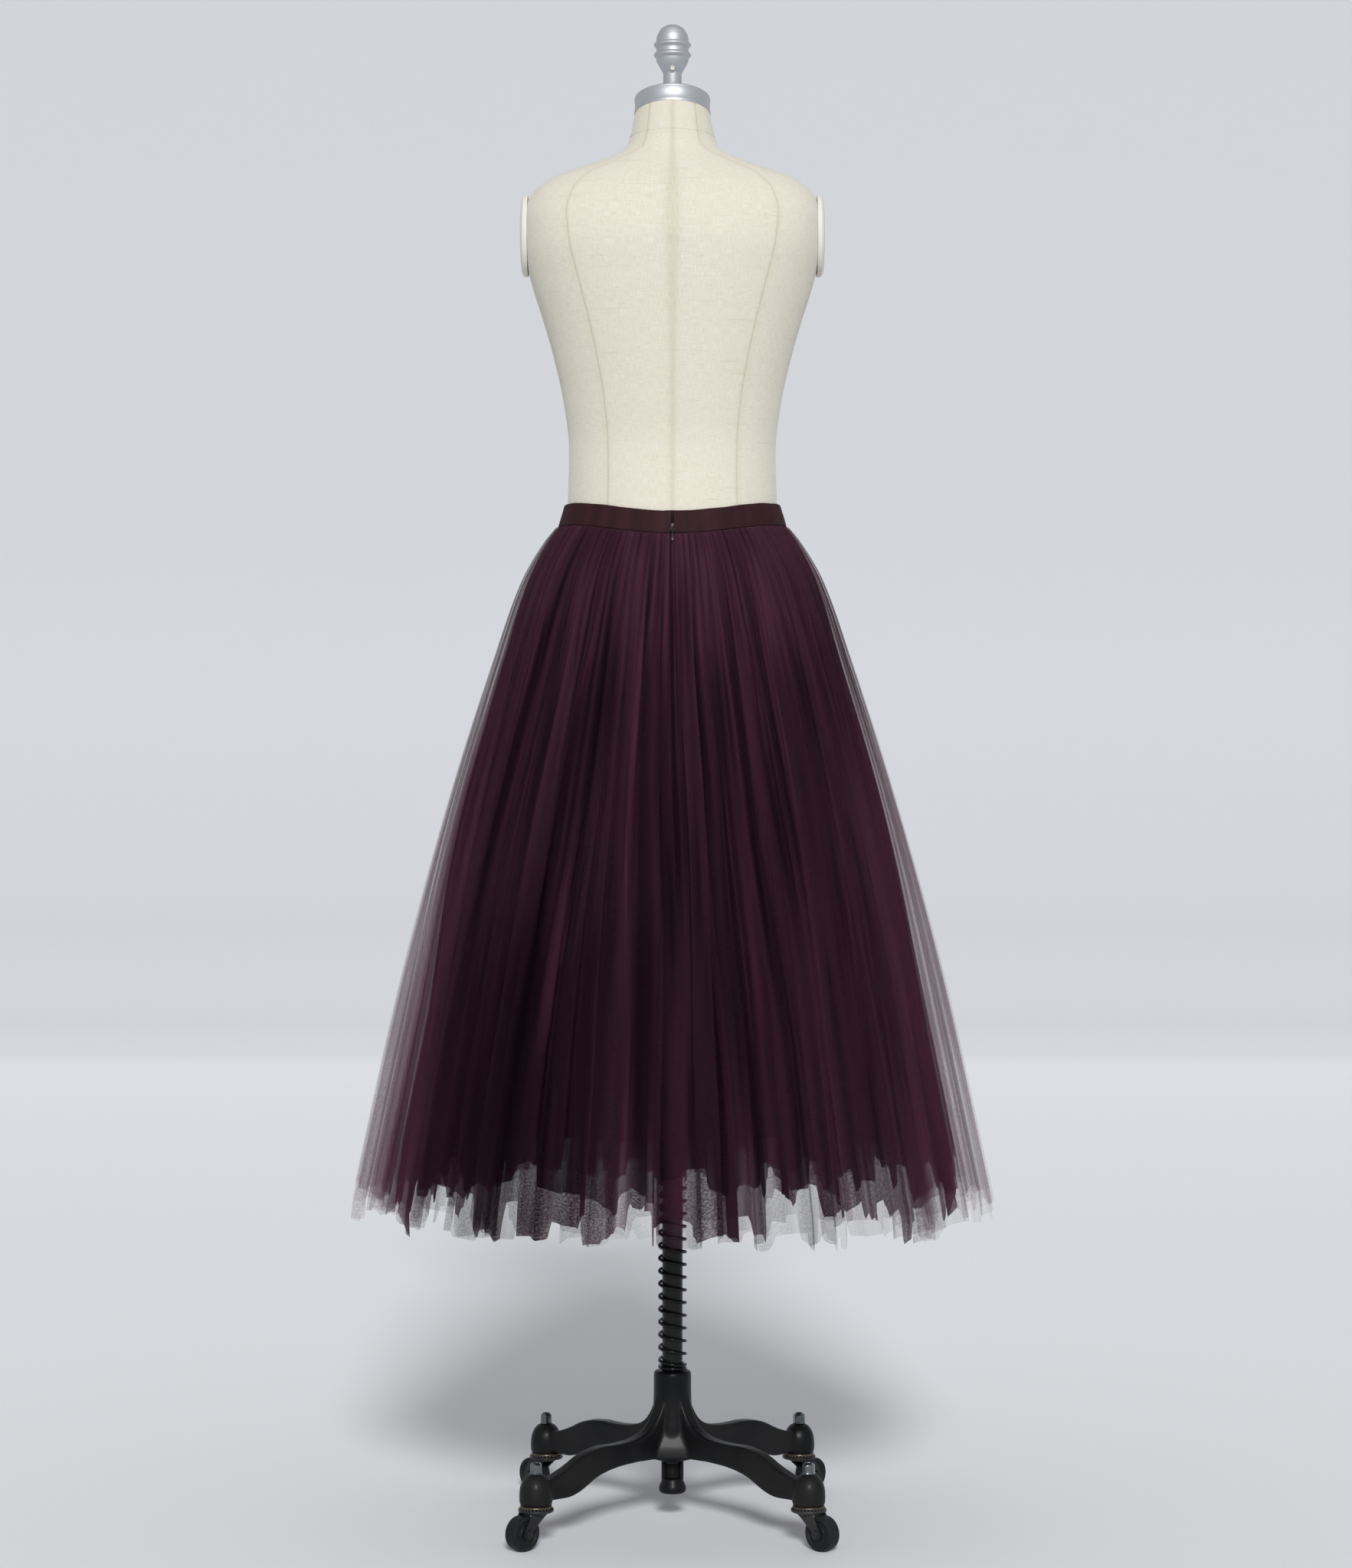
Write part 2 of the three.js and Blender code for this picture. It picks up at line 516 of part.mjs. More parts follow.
// The swivelling fork with its axle, in the caster's own frame, with the wheel's trail along +X
function fork() {
  const { trail, radius, half } = WHEEL;
  const plate = turned([[FORK.bore, FORK.bottom], [FORK.plate, FORK.bottom], [FORK.plate, FORK.top],
    [FORK.bore, FORK.top], [FORK.bore, FORK.bottom]], 10);
  const cheek = (side) => {
    const shape = new THREE.Shape();
    shape.moveTo(-10, FORK.top - 0.5);
    shape.lineTo(-10, FORK.bottom);
    shape.lineTo(trail - 6.5, radius + 2);
    shape.absarc(trail, radius, 6.2, Math.PI * 0.88, Math.PI * 2.04);
    shape.lineTo(15, FORK.bottom);
    shape.lineTo(13, FORK.top - 0.5);
    const flat = new THREE.ExtrudeGeometry(shape, { depth: 2, bevelEnabled: false, curveSegments: 4 });
    return flat.rotateX(Math.PI / 2).translate(0, side * (half + 2) + 1, 0);
  };
  const axle = new THREE.CylinderGeometry(WHEEL.bore - 0.4, WHEEL.bore - 0.4, 2 * half + 8, 8).translate(trail, 0, radius);
  const bolt = (side) => new THREE.CylinderGeometry(4.4, 4.4, 1.4, 8).translate(trail, side * (half + 3.6), radius);
  return geometryFrom(joined([plate, cheek(1), cheek(-1), axle, bolt(1), bolt(-1)]));
}

function wheel() {
  const { radius, half, bore, sides, trail } = WHEEL;
  const tread = radius / Math.cos(Math.PI / sides); // so that the flat that stands on the floor is at the radius
  const profile = [[bore, -half], [tread - 2, -half], [tread, 2 - half], [tread, half - 2], [tread - 2, half],
    [bore, half], [bore, -half]];
  const lathe = new THREE.LatheGeometry(profile.map(([r, w]) => new THREE.Vector2(r, w)), sides, Math.PI / sides);
  return lathe.translate(trail, 0, radius);
}

const group = new THREE.Group();
const add = (name, geometry, material) => group.add(meshOf(name, geometry, material));

add("tulle_outer", layer("outer"), MATERIAL.tulle);
add("tulle_middle", layer("middle"), MATERIAL.tulle);
add("lining", layer("lining"), MATERIAL.lining);
add("waistband", waistband(), MATERIAL.band);
add("zip_slider", zipSlider(), MATERIAL.zip);
add("zip_pull", zipPull(), MATERIAL.zip);
add("form_body", formBody(), MATERIAL.linen);
add("form_board", formBoard(), MATERIAL.board);
add("arm_plate_right", armPlate(1), MATERIAL.plate);
add("arm_plate_left", armPlate(-1), MATERIAL.plate);
add("neck_cap", neckCap(), MATERIAL.silver);
add("finial", finial(), MATERIAL.silver);
add("finial_screw", finialScrew(), MATERIAL.silver);
add("sleeve", sleeve(), MATERIAL.steel);
add("pole", pole(), MATERIAL.steel);
add("pole_foot", poleFoot(), MATERIAL.iron);
add("spring", spring(), MATERIAL.spring);
add("base_casting", baseCasting(), MATERIAL.iron);
for (const corner of CORNERS) {
  const caster = new THREE.Group();
  caster.position.set(corner.x, corner.y, 0);
  caster.rotation.z = corner.angle;
  caster.add(meshOf(`caster_stem_${corner.number}`, casterStem(), MATERIAL.steel));
  caster.add(meshOf(`fork_${corner.number}`, fork(), MATERIAL.steel));
  caster.add(meshOf(`wheel_${corner.number}`, wheel(), MATERIAL.tyre));
  group.add(caster);
}

export default group;
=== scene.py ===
import math
import bpy
import numpy as np
from mathutils import Matrix, Vector


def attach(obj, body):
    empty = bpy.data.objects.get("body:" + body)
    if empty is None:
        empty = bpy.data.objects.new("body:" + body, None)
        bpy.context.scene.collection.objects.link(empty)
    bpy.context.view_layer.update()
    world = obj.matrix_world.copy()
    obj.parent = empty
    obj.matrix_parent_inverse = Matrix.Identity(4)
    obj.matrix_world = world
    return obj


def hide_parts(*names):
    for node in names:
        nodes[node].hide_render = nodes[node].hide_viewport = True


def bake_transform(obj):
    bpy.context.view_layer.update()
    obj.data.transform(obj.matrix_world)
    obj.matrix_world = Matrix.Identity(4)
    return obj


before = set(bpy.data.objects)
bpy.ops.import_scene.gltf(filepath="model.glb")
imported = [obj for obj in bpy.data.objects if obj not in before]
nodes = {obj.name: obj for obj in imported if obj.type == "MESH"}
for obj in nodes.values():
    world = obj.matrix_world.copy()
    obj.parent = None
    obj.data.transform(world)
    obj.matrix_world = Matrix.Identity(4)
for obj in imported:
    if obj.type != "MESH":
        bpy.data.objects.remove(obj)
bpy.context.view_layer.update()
mm = 0.001
tau = 2 * math.pi

# The camera stands level with the skirt's middle and looks along +Y
view = {"place": (0.004, -3.87, 0.829), "lens": 78.75, "sensor": 36.0}
bpy.ops.object.camera_add(location=view["place"], rotation=(math.radians(90), 0, 0))
camera = bpy.context.object
camera.name = "camera"
camera.data.lens = view["lens"]
camera.data.sensor_width = view["sensor"]
bpy.context.scene.camera = camera
bpy.context.scene.view_settings.view_transform = "Standard"
bpy.context.scene.cycles.transparent_max_bounces = 64


def clearSelection():
    if bpy.context.object and bpy.context.object.mode != "OBJECT":
        bpy.ops.object.mode_set(mode="OBJECT")
    bpy.ops.object.select_all(action="DESELECT")


def pick(obj):
    clearSelection()
    obj.select_set(True)
    bpy.context.view_layer.objects.active = obj


def editAll(obj):
    pick(obj)
    bpy.ops.object.mode_set(mode="EDIT")
    bpy.ops.mesh.select_all(action="SELECT")


def stopEditing():
    bpy.ops.object.mode_set(mode="OBJECT")


def applyModifiers(obj):
    pick(obj)
    for modifier in list(obj.modifiers):
        bpy.ops.object.modifier_apply(modifier=modifier.name)


def between(rows, at, column):
    x = np.array([row[0] for row in rows], float)
    y = np.array([row[column] for row in rows], float)
    step = np.diff(y) / np.diff(x)
    a, b = step[:-1], step[1:]
    same = a * b > 0
    middle = np.where(same, 2 * a * b / np.where(same, a + b, 1), 0)
    slope = np.concatenate([step[:1], middle, step[-1:]])
    i = np.clip(np.searchsorted(x, at, side="right") - 1, 0, len(x) - 2)
    width = x[i + 1] - x[i]
    t = np.clip((at - x[i]) / width, 0, 1)
    near = (2 * t**3 - 3 * t**2 + 1) * y[i] + (t**3 - 2 * t**2 + t) * width * slope[i]
    far = (3 * t**2 - 2 * t**3) * y[i + 1] + (t**3 - t**2) * width * slope[i + 1]
    return near + far


def ease(t):
    t = np.clip(t, 0, 1)
    return t * t * (3 - 2 * t)


def gridPiece(name, points, flat, closed=True, marks=None):
    # points is rows x columns x 3 in mm, top row first
    # flat is the cloth's own place of each point, in metres
    rows, columns = points.shape[:2]
    index = np.arange(rows * columns).reshape(rows, columns)
    left = index if closed else index[:, :-1]
    right = np.roll(index, -1, axis=1) if closed else index[:, 1:]
    faces = np.stack([left[:-1], left[1:], right[1:], right[:-1]], axis=-1).reshape(-1, 4)
    mesh = bpy.data.meshes.new(name)
    mesh.from_pydata((points.reshape(-1, 3) * mm).tolist(), [], faces.tolist())
    a, b = flat[:, :-1], flat[:, 1:]
    corners = np.stack([a[:-1], a[1:], b[1:], b[:-1]], axis=-2)
    mesh.uv_layers.new(name="cloth").data.foreach_set("uv", corners.reshape(-1).astype(np.float32))
    for key, values in (marks or {}).items():
        mark = mesh.attributes.new(key, "FLOAT", "POINT")
        mark.data.foreach_set("value", values.reshape(-1).astype(np.float32))
    mesh.shade_smooth()
    obj = bpy.data.objects.new(name, mesh)
    bpy.context.collection.objects.link(obj)
    return obj


def dress(obj, material, body, replaced=()):
    obj.data.materials.clear()
    obj.data.materials.append(material)
    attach(obj, body)
    if replaced:
        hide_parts(*replaced)


# Materials

def newMaterial(name, settings):
    material = bpy.data.materials.new(name)
    material.use_nodes = True
    shader = material.node_tree.nodes["Principled BSDF"]
    for key, value in settings.items():
        shader.inputs[key].default_value = value
    return material, material.node_tree, shader


def rgb(red, green, blue):
    # display colour 0-255 to the linear values that a shader takes
    line = [c / 255 for c in (red, green, blue)]
    return [c / 12.92 if c <= 0.04045 else ((c + 0.055) / 1.055) ** 2.4 for c in line] + [1]


def newGroup(name, inputs, outputs):
    group = bpy.data.node_groups.new(name, "ShaderNodeTree")
    for label, kind in inputs:
        group.interface.new_socket(label, in_out="INPUT", socket_type="NodeSocket" + kind)
    for label in outputs:
        group.interface.new_socket(label, in_out="OUTPUT", socket_type="NodeSocketFloat")
    start = group.nodes.new("NodeGroupInput")
    end = group.nodes.new("NodeGroupOutput")
    return group, start, end


def addNode(tree, kind, inputs, **settings):
    # an input given as another node's output is linked, anything else is its value
    node = tree.nodes.new("ShaderNode" + kind)
    for key, value in settings.items():
        setattr(node, key, value)
    for key, value in inputs.items():
        if isinstance(value, bpy.types.NodeSocket):
            tree.links.new(value, node.inputs[key])
        else:
            node.inputs[key].default_value = value
    return node


def math2(tree, operation, a, b, clamp=False):
    return addNode(tree, "Math", {0: a, 1: b}, operation=operation, use_clamp=clamp).outputs[0]


def remap(tree, value, low, high, toLow, toHigh):
    return addNode(tree, "MapRange", {0: value, 1: low, 2: high, 3: toLow, 4: toHigh}).outputs[0]


def mixColor(tree, share, a, b):
    return addNode(tree, "Mix", {0: share, 6: a, 7: b}, data_type="RGBA").outputs[2]


def stretched(tree, coordinates, scale):
    return addNode(tree, "Mapping", {"Vector": coordinates, "Scale": scale}).outputs[0]


def noise(tree, coordinates, scale, detail=2.0, roughness=0.5):
    inputs = {"Vector": coordinates, "Scale": scale, "Detail": detail, "Roughness": roughness}
    return addNode(tree, "TexNoise", inputs).outputs["Fac"]


def clothPlace(tree):
    return addNode(tree, "UVMap", {}, uv_map="cloth").outputs[0]


def objectPlace(tree):
    return addNode(tree, "TexCoord", {}).outputs["Object"]


def markOf(tree, name):
    return addNode(tree, "Attribute", {}, attribute_name=name).outputs["Fac"]


def bump(tree, shader, height, strength, distance):
    node = addNode(tree, "Bump", {"Strength": strength, "Distance": distance, "Height": height})
    tree.links.new(node.outputs[0], shader.inputs["Normal"])


# Woven or knitted grain: fine cells with long soft streaks along the cloth's drop
def buildGrain():
    group, start, end = newGroup(
        "clothGrain",
        [("Place", "Vector"), ("Cell", "Float"), ("Streak", "Float")],
        ["Speckle", "Streaks"],
    )
    place = start.outputs["Place"]
    cell = noise(group, place, start.outputs["Cell"], 1.0)
    streak = noise(group, stretched(group, place, (1, 0.035, 1)), start.outputs["Streak"], 5.0)
    group.links.new(remap(group, cell, 0.34, 0.66, 0, 1), end.inputs["Speckle"])
    group.links.new(remap(group, streak, 0.3, 0.7, 0, 1), end.inputs["Streaks"])
    return group


grainGroup = buildGrain()


def addGrain(tree, cell, streak):
    inputs = {"Place": clothPlace(tree), "Cell": cell, "Streak": streak}
    node = addNode(tree, "Group", inputs, node_tree=grainGroup)
    return node.outputs["Speckle"], node.outputs["Streaks"]


netGrain = {"cell": 560.0, "streak": 80.0, "gloss": 0.06, "roughness": 0.75}


def netMaterial(name, thread, shade, cover, deep, paintedBacklitColor=None):
    # cover is the share of the surface that the threads take where the net hangs flat;
    # shade is the painted shade colour that streaks, fold valleys and gather creases are darkened to;
    # paintedBacklitColor is painted light: a lighter thread colour where the open mark says light comes
    # through from behind
    settings = {"Roughness": netGrain["roughness"], "Specular IOR Level": netGrain["gloss"]}
    material, tree, shader = newMaterial(name, settings)
    speckle, streaks = addGrain(tree, netGrain["cell"], netGrain["streak"])
    valley = markOf(tree, "valley")
    # painted shade: the streaks stand in for shade in fine creases and the valley mark for shade in folds;
    # below, the valley mark also adds real layers of net
    color = mixColor(tree, remap(tree, streaks, 0.35, 0.85, 0, 0.8), thread, shade)
    color = mixColor(tree, remap(tree, valley, 0.15, 0.85, 0.0, deep), color, shade)
    # painted light: where the open mark is set, the threads are painted in the lighter backlit colour
    if paintedBacklitColor:
        color = mixColor(tree, markOf(tree, "open"), color, paintedBacklitColor)
    tree.links.new(color, shader.inputs["Base Color"])
    bunch = markOf(tree, "bunch")
    plain = math2(tree, "SUBTRACT", speckle, 0.5)
    calmed = math2(tree, "DIVIDE", plain, math2(tree, "MULTIPLY", bunch, bunch))
    grain = 0.45 * cover * (1 - cover)
    grained = remap(tree, calmed, -0.5, 0.5, cover - grain, cover + grain)
    streaked = math2(tree, "MULTIPLY", grained, remap(tree, streaks, 0, 1, 0.68, 1.32))
    clear = math2(tree, "SUBTRACT", 1.0, streaked)
    layers = math2(tree, "ADD", bunch, remap(tree, valley, 0.2, 1.0, 0.0, 1.2))
    tree.links.new(math2(tree, "SUBTRACT", 1.0, math2(tree, "POWER", clear, layers)), shader.inputs["Alpha"])
    return material


def satinMaterial(name, light, dark, roughness, threads):
    material, tree, shader = newMaterial(name, {"Roughness": roughness, "Specular IOR Level": 0.12})
    speckle, streaks = addGrain(tree, threads, 40.0)
    tree.links.new(mixColor(tree, streaks, dark, light), shader.inputs["Base Color"])
    place = stretched(tree, clothPlace(tree), (1, 0.25, 1))
    fine = noise(tree, place, threads, 1.0)
    rough = remap(tree, fine, 0.3, 0.7, roughness - 0.06, roughness + 0.08)
    tree.links.new(rough, shader.inputs["Roughness"])
    bump(tree, shader, math2(tree, "ADD", fine, speckle), 0.25, 0.0002)
    return material


print("materials for cloth ready")

# The skirt's body: half widths at the side, back and front for each drop below the band, in mm
skirtRows = [(0, 130.9, 102.6, 101.3), (18, 144.5, 113, 112), (61, 169, 138, 136), (148, 200.5, 175, 173),
             (300, 250, 230, 228), (520, 311.5, 297, 294), (758, 364.5, 351, 349)]
# Half fold depths of outer nets, under nets and lining, and the space between layers, for each drop
foldRows = [(0, 0, 0, 0, 0.65), (18, 0.8, 0.3, 0.3, 0.7), (61, 3.2, 1.4, 1, 1.3), (148, 7.5, 3, 2.2, 2),
            (300, 12, 4.8, 3.8, 2.6), (520, 16, 6.4, 5.8, 3), (758, 18, 7.5, 7, 3)]
skirt = {"level": 1117.4, "wall": 1.1, "bandSide": 1143, "bandFront": 1146, "backDip": 13}


def bandTop(angle):
    s = np.sin(angle)
    return np.where(s > 0, skirt["bandSide"] + (skirt["bandFront"] - skirt["bandSide"]) * s**2,
                    skirt["bandSide"] - skirt["backDip"] * s**4)


def skirtPoints(angle, drop, inset, hem, turn=0.0):
    c, s = np.cos(angle + turn), np.sin(angle + turn)
    side = between(skirtRows, drop, 1)
    depth = np.where(s > 0, between(skirtRows, drop, 3), between(skirtRows, drop, 2))
    nx, ny = c / side, s / depth
    size = np.hypot(nx, ny)
    z = skirt["level"] - drop + (bandTop(angle) - skirt["bandSide"]) * (1 - drop / hem)
    return np.stack([side * c - nx / size * inset, depth * s - ny / size * inset, z], axis=-1)


def foldKnots(count, seed, spread=0.45, crowd=0.3):
    # crests and valleys round the waist by turns; those near centre back stand closer together
    r = np.random.default_rng(seed)
    width = r.uniform(1 - spread, 1 + spread, count)
    middle = (np.arange(count) + 0.5) / count
    width *= 1 - crowd * np.exp(-(((middle - 0.74) / 0.06) ** 2))
    start = np.concatenate([[0], np.cumsum(width)[:-1]]) / width.sum() * tau
    step = width / width.sum() * tau
    knots = np.empty(2 * count)
    knots[0::2] = start
    knots[1::2] = start + step * (0.5 + r.uniform(-0.14, 0.14, count))
    values = np.empty(2 * count)
    values[0::2] = r.uniform(0, 1, count)
    values[1::2] = r.uniform(0, 1, count)
    half = np.repeat(step / 2, 2)
    lean = np.zeros(2 * count)
    lean[1::2] = r.uniform(0.4, 1.25, count) * r.choice([-1, 1], count)
    hang = np.repeat(r.uniform(-1, 1, count), 2)
    return {
        "knots": knots, "values": values, "lean": lean * half, "hang": hang,
        "drift": half * r.uniform(-0.36, 0.36, 2 * count), "swing": half * r.uniform(-0.12, 0.12, 2 * count),
        "phase": r.uniform(0, tau, 2 * count), "begins": np.repeat(r.uniform(0, 1, count) ** 1.5, 2),
    }


def alongKnots(angle, knots, values, narrow, sharp=0.2):
    # eases from each knot's value to the next; narrow makes crests broad and valleys tight
    ring = np.concatenate([knots[-1:] - tau, knots, knots[:1] + tau])
    worth = np.concatenate([values[-1:], values, values[:1]])
    turned = (angle - knots[0]) % tau + knots[0]
    i = np.clip(np.searchsorted(ring, turned, side="right") - 1, 0, len(ring) - 2)
    q = np.clip((turned - ring[i]) / (ring[i + 1] - ring[i]), 0, 1)
    toValley = i % 2 == 1
    q = np.where(toValley, q, 1 - q)
    f = (sharp * q + (1 - sharp) * (0.5 - 0.5 * np.cos(math.pi * q))) ** narrow
    crest = np.where(toValley, worth[i], worth[i + 1])
    valley = np.where(toValley, worth[i + 1], worth[i])
    return crest + (valley - crest) * f


def foldField(folds, angle, drops, hem, crest, valley, narrow, opening=200):
    # how deep the cloth lies (0 outermost, 1 innermost) and how far its folds lean, per drop and angle
    depth = np.empty((len(drops), len(angle)))
    turn = np.empty_like(depth)
    count = len(folds["knots"])
    isValley = np.arange(count) % 2 == 1
    full = np.where(isValley, valley[0] + (valley[1] - valley[0]) * folds["values"],
                    crest[0] + (crest[1] - crest[0]) * folds["values"])
    calm = (crest[0] + crest[1]) / 2
    for row, drop in enumerate(drops):
        share = drop / hem
        knots = folds["knots"] + folds["drift"] * share + folds["swing"] * np.sin(5 * share + folds["phase"])
        grown = ease((drop - opening * folds["begins"]) / 170 + 0.3)
        depth[row] = alongKnots(angle, knots, calm + (full - calm) * grown, narrow)
        turn[row] = alongKnots(angle, knots, folds["lean"] * grown, narrow)
    return depth, turn


def hemField(folds, angle):
    # each strip between two valleys hangs to its own length
    knots = folds["knots"] + folds["drift"]
    ring = np.concatenate([knots[1::2], knots[1:2] + tau])
    hang = np.concatenate([folds["hang"][2::2], folds["hang"][:1]])
    turned = (angle - ring[0]) % tau + ring[0]
    i = np.clip(np.searchsorted(ring, turned, side="right") - 1, 0, len(hang) - 1)
    q = (turned - ring[i]) / (ring[i + 1] - ring[i])
    after = ease((q - 0.86) / 0.14)
    tilt = 0.3 * np.roll(hang, 5)[i] * (q - 0.5)
    return hang[i] * (1 - after) + np.roll(hang, -1)[i] * after + tilt


def dropRows(count, hem):
    t = np.linspace(0, 1, count)
    return hem * (0.4 * t + 0.6 * t**2)


def toneField(angle, drops, seed, across=64, down=6):
    # broad lighter and darker patches, -0.5 to 0.5, that run along the folds
    r = np.random.default_rng(seed)
    grid = r.uniform(-0.5, 0.5, (down, across))
    grid = np.hstack([grid, grid[:, :1]])
    knots = np.sort(np.append(r.uniform(0, tau, across - 1), 0.0))
    knots = np.append(knots, tau)
    rows = np.array([np.interp(angle, knots, row) for row in grid])
    place = np.linspace(0, down - 1, len(drops))
    i = np.clip(place.astype(int), 0, down - 2)
    f = ease(place - i)[:, None]
    return rows[i] * (1 - f) + rows[i + 1] * f


def shadeField(angle, drops):
    # painted shade: the nets' colour is darkened low down, most of all at the left and the centre back
    low = 0.42 * ease((drops - 80) / 260)[:, None] * (0.75 - 0.5 * np.cos(angle))[None, :]
    middle = np.exp(-(((angle - 4.65) / 0.5) ** 2))[None, :]
    return low + 0.25 * ease((drops - 350) / 250)[:, None] * middle


# Fine gathers under the band: many small ridges that stand out and die away below
gatherRows = [(0, 1.2), (10, 2.2), (40, 3.0), (110, 2.8), (230, 2.2), (400, 1.4), (560, 0.8), (800, 0.5)]
gathers = foldKnots(140, 5, 0.75, 0.4)


def gatherField(angle, drops, seed):
    r = np.random.default_rng(seed)
    depth, _ = foldField(gathers, angle, drops, 760, (0, 0.3), (0.4, 1), 1.1, 60)
    tall = np.interp(angle, np.linspace(0, tau, 61), np.append(r.uniform(0.35, 1.2, 60), 0.8))
    size = tall * between(gatherRows, drops, 1)[:, None]
    # the first value pushes the cloth in at each gather; the second is painted shade in the gathers' creases
    return depth * size, depth * np.clip(size / 2.4, 0, 1)


def sway(angle, drops, start):
    # whole groups of folds drift to one side on their way down
    share = ease((drops - 60) / 600)[:, None]
    slow = 0.06 * np.sin(4 * angle + start)[None, :] * share
    return slow + 0.018 * np.sin(13 * angle[None, :] + 4 * share + 2 * start) * share


def clothLayer(name, hem, inset, turn, uneven, valley, flatWidth, columns, crowd=0.0, paintedBacklight=0.0):
    # crowd is how much more or less net lies in each strip than the whole ring's mean
    # paintedBacklight is 1 where the threads are painted lighter, as painted light coming through the net;
    # valley darkens the colour as painted shade and adds layers of net
    angle, drops, hang = columns
    drop = drops[:, None] + (uneven * hang)[None, :] * ease((drops - 250) / (hem - 250))[:, None]
    points = skirtPoints(angle[None, :] + 0 * drop, drop, inset, hem, turn)
    ring = np.linalg.norm(np.roll(points, -1, axis=1) - points, axis=2).sum(axis=1) * mm
    bunch = np.clip(flatWidth / ring, 1, 5)[:, None] * (1 + crowd + 0 * drop)
    u = np.linspace(0, flatWidth, len(angle) + 1)
    flat = np.stack(np.broadcast_arrays(u[None, :], -drops[:, None] * mm), axis=-1)
    marks = {"valley": np.clip(valley, 0, 1), "bunch": bunch, "open": paintedBacklight + 0 * drop}
    return gridPiece(name, points, flat, True, marks)


outerNets = {"columns": 1400, "rows": 48, "hems": (756, 748), "uneven": (16, 19), "flutes": (60, 52),
             "flat": 3.2, "open": 758}
underNets = {"columns": 1200, "rows": 48, "hems": (712, 740), "uneven": (19, 24), "flutes": (40, 54),
             "flat": 2.6, "open": 708}
liningCut = {"columns": 480, "rows": 40, "hem": 672, "uneven": 15, "flutes": 14, "flat": 2.1}


def zones(angle, drops):
    # how far in each layer starts, and how deep it may fold
    space = between(foldRows, drops, 4)[:, None]
    left = np.exp(-(((angle - math.pi) / 0.75) ** 2))
    right = np.exp(-((((angle + math.pi) % tau - math.pi) / 0.75) ** 2))
    near = 1 - ease((drops - 280) / 300)[:, None]
    thin = 0.82 - (0.42 * left + 0.32 * right)[None, :] * near + 0.3 * left[None, :] * (1 - near)
    outer = 2 * between(foldRows, drops, 1)[:, None] * thin
    under = 2 * between(foldRows, drops, 2)[:, None]
    inner = 2 * between(foldRows, drops, 3)[:, None]
    start = outer + skirt["wall"] + space
    return outer, under, inner, start, start + under + skirt["wall"] + space, space


def buildOuterNets():
    angle = np.linspace(0, tau, outerNets["columns"], endpoint=False)
    drops = dropRows(outerNets["rows"], outerNets["hems"][0])
    outer, _, _, _, _, space = zones(angle, drops)
    fine, paintedGatherShade = gatherField(angle, drops, 3)
    frill = foldKnots(130, 66, 0.6)
    first = foldKnots(outerNets["flutes"][0], 21)
    second = foldKnots(outerNets["flutes"][1], 34)
    depthOne, turnOne = foldField(first, angle, drops, outerNets["open"], (0, 0.2), (0.3, 0.95), 2.8)
    depthTwo, turnTwo = foldField(second, angle, drops, outerNets["open"], (0.25, 0.5), (0.6, 1), 2.4)
    insetOne = outer * depthOne + fine - 2.2 * np.clip(between(gatherRows, drops, 1) / 3, 0, 1)[:, None]
    insetTwo = np.maximum(insetOne + 0.45 * space, outer * depthTwo)
    turnOne = turnOne + sway(angle, drops, 0.6)
    turn = turnOne + 0.6 * turnTwo * ease((depthTwo - depthOne) / 0.3)
    tone = toneField(angle, drops, 12, 90) + 0.65 * shadeField(angle, drops)
    grown = ease((drops - 40) / 120)[:, None]
    # at the two sides the nets stand free of the dense ones; there their painted shade is halved, they carry
    # a little less net, and their threads take the painted light colour, as if lit from behind
    sides = np.exp(-((((angle + math.pi / 2) % math.pi - math.pi / 2) / 0.42) ** 2))[None, :]
    # painted shade marks: fold valleys, gather creases, random tone and the painted shade of shadeField, all
    # darkening the colour
    paintedShadeOne = (np.maximum(0.9 * depthOne * grown, paintedGatherShade) + 0.8 * tone) * (1 - 0.5 * sides)
    paintedShadeTwo = (np.maximum(0.8 * depthTwo * grown, paintedGatherShade) + 0.8 * tone) * (1 - 0.5 * sides)
    made = []
    for i, (inset, mark, folds, name) in enumerate(((insetOne, paintedShadeOne, first, "outerNetOne"),
                                                     (insetTwo, paintedShadeTwo, second, "outerNetTwo"))):
        hem = outerNets["hems"][i]
        depth = (depthOne, depthTwo)[i][-1]
        hang = 0.65 * hemField(folds, angle) + 0.8 * hemField(frill, angle + i) + 0.7 * (depth - 0.3)
        columns = (angle, drops * hem / drops[-1], hang)
        crowd = 1.3 * toneField(angle, drops, 60 + i, 150, 4) * ease((drops - 150) / 300)[:, None]
        crowd -= 0.1 * sides
        made.append(clothLayer(name, hem, inset, turnOne if i == 0 else turn, outerNets["uneven"][i], mark,
                               outerNets["flat"], columns, crowd, sides * ease((drops - 60) / 300)[:, None]))
    return made


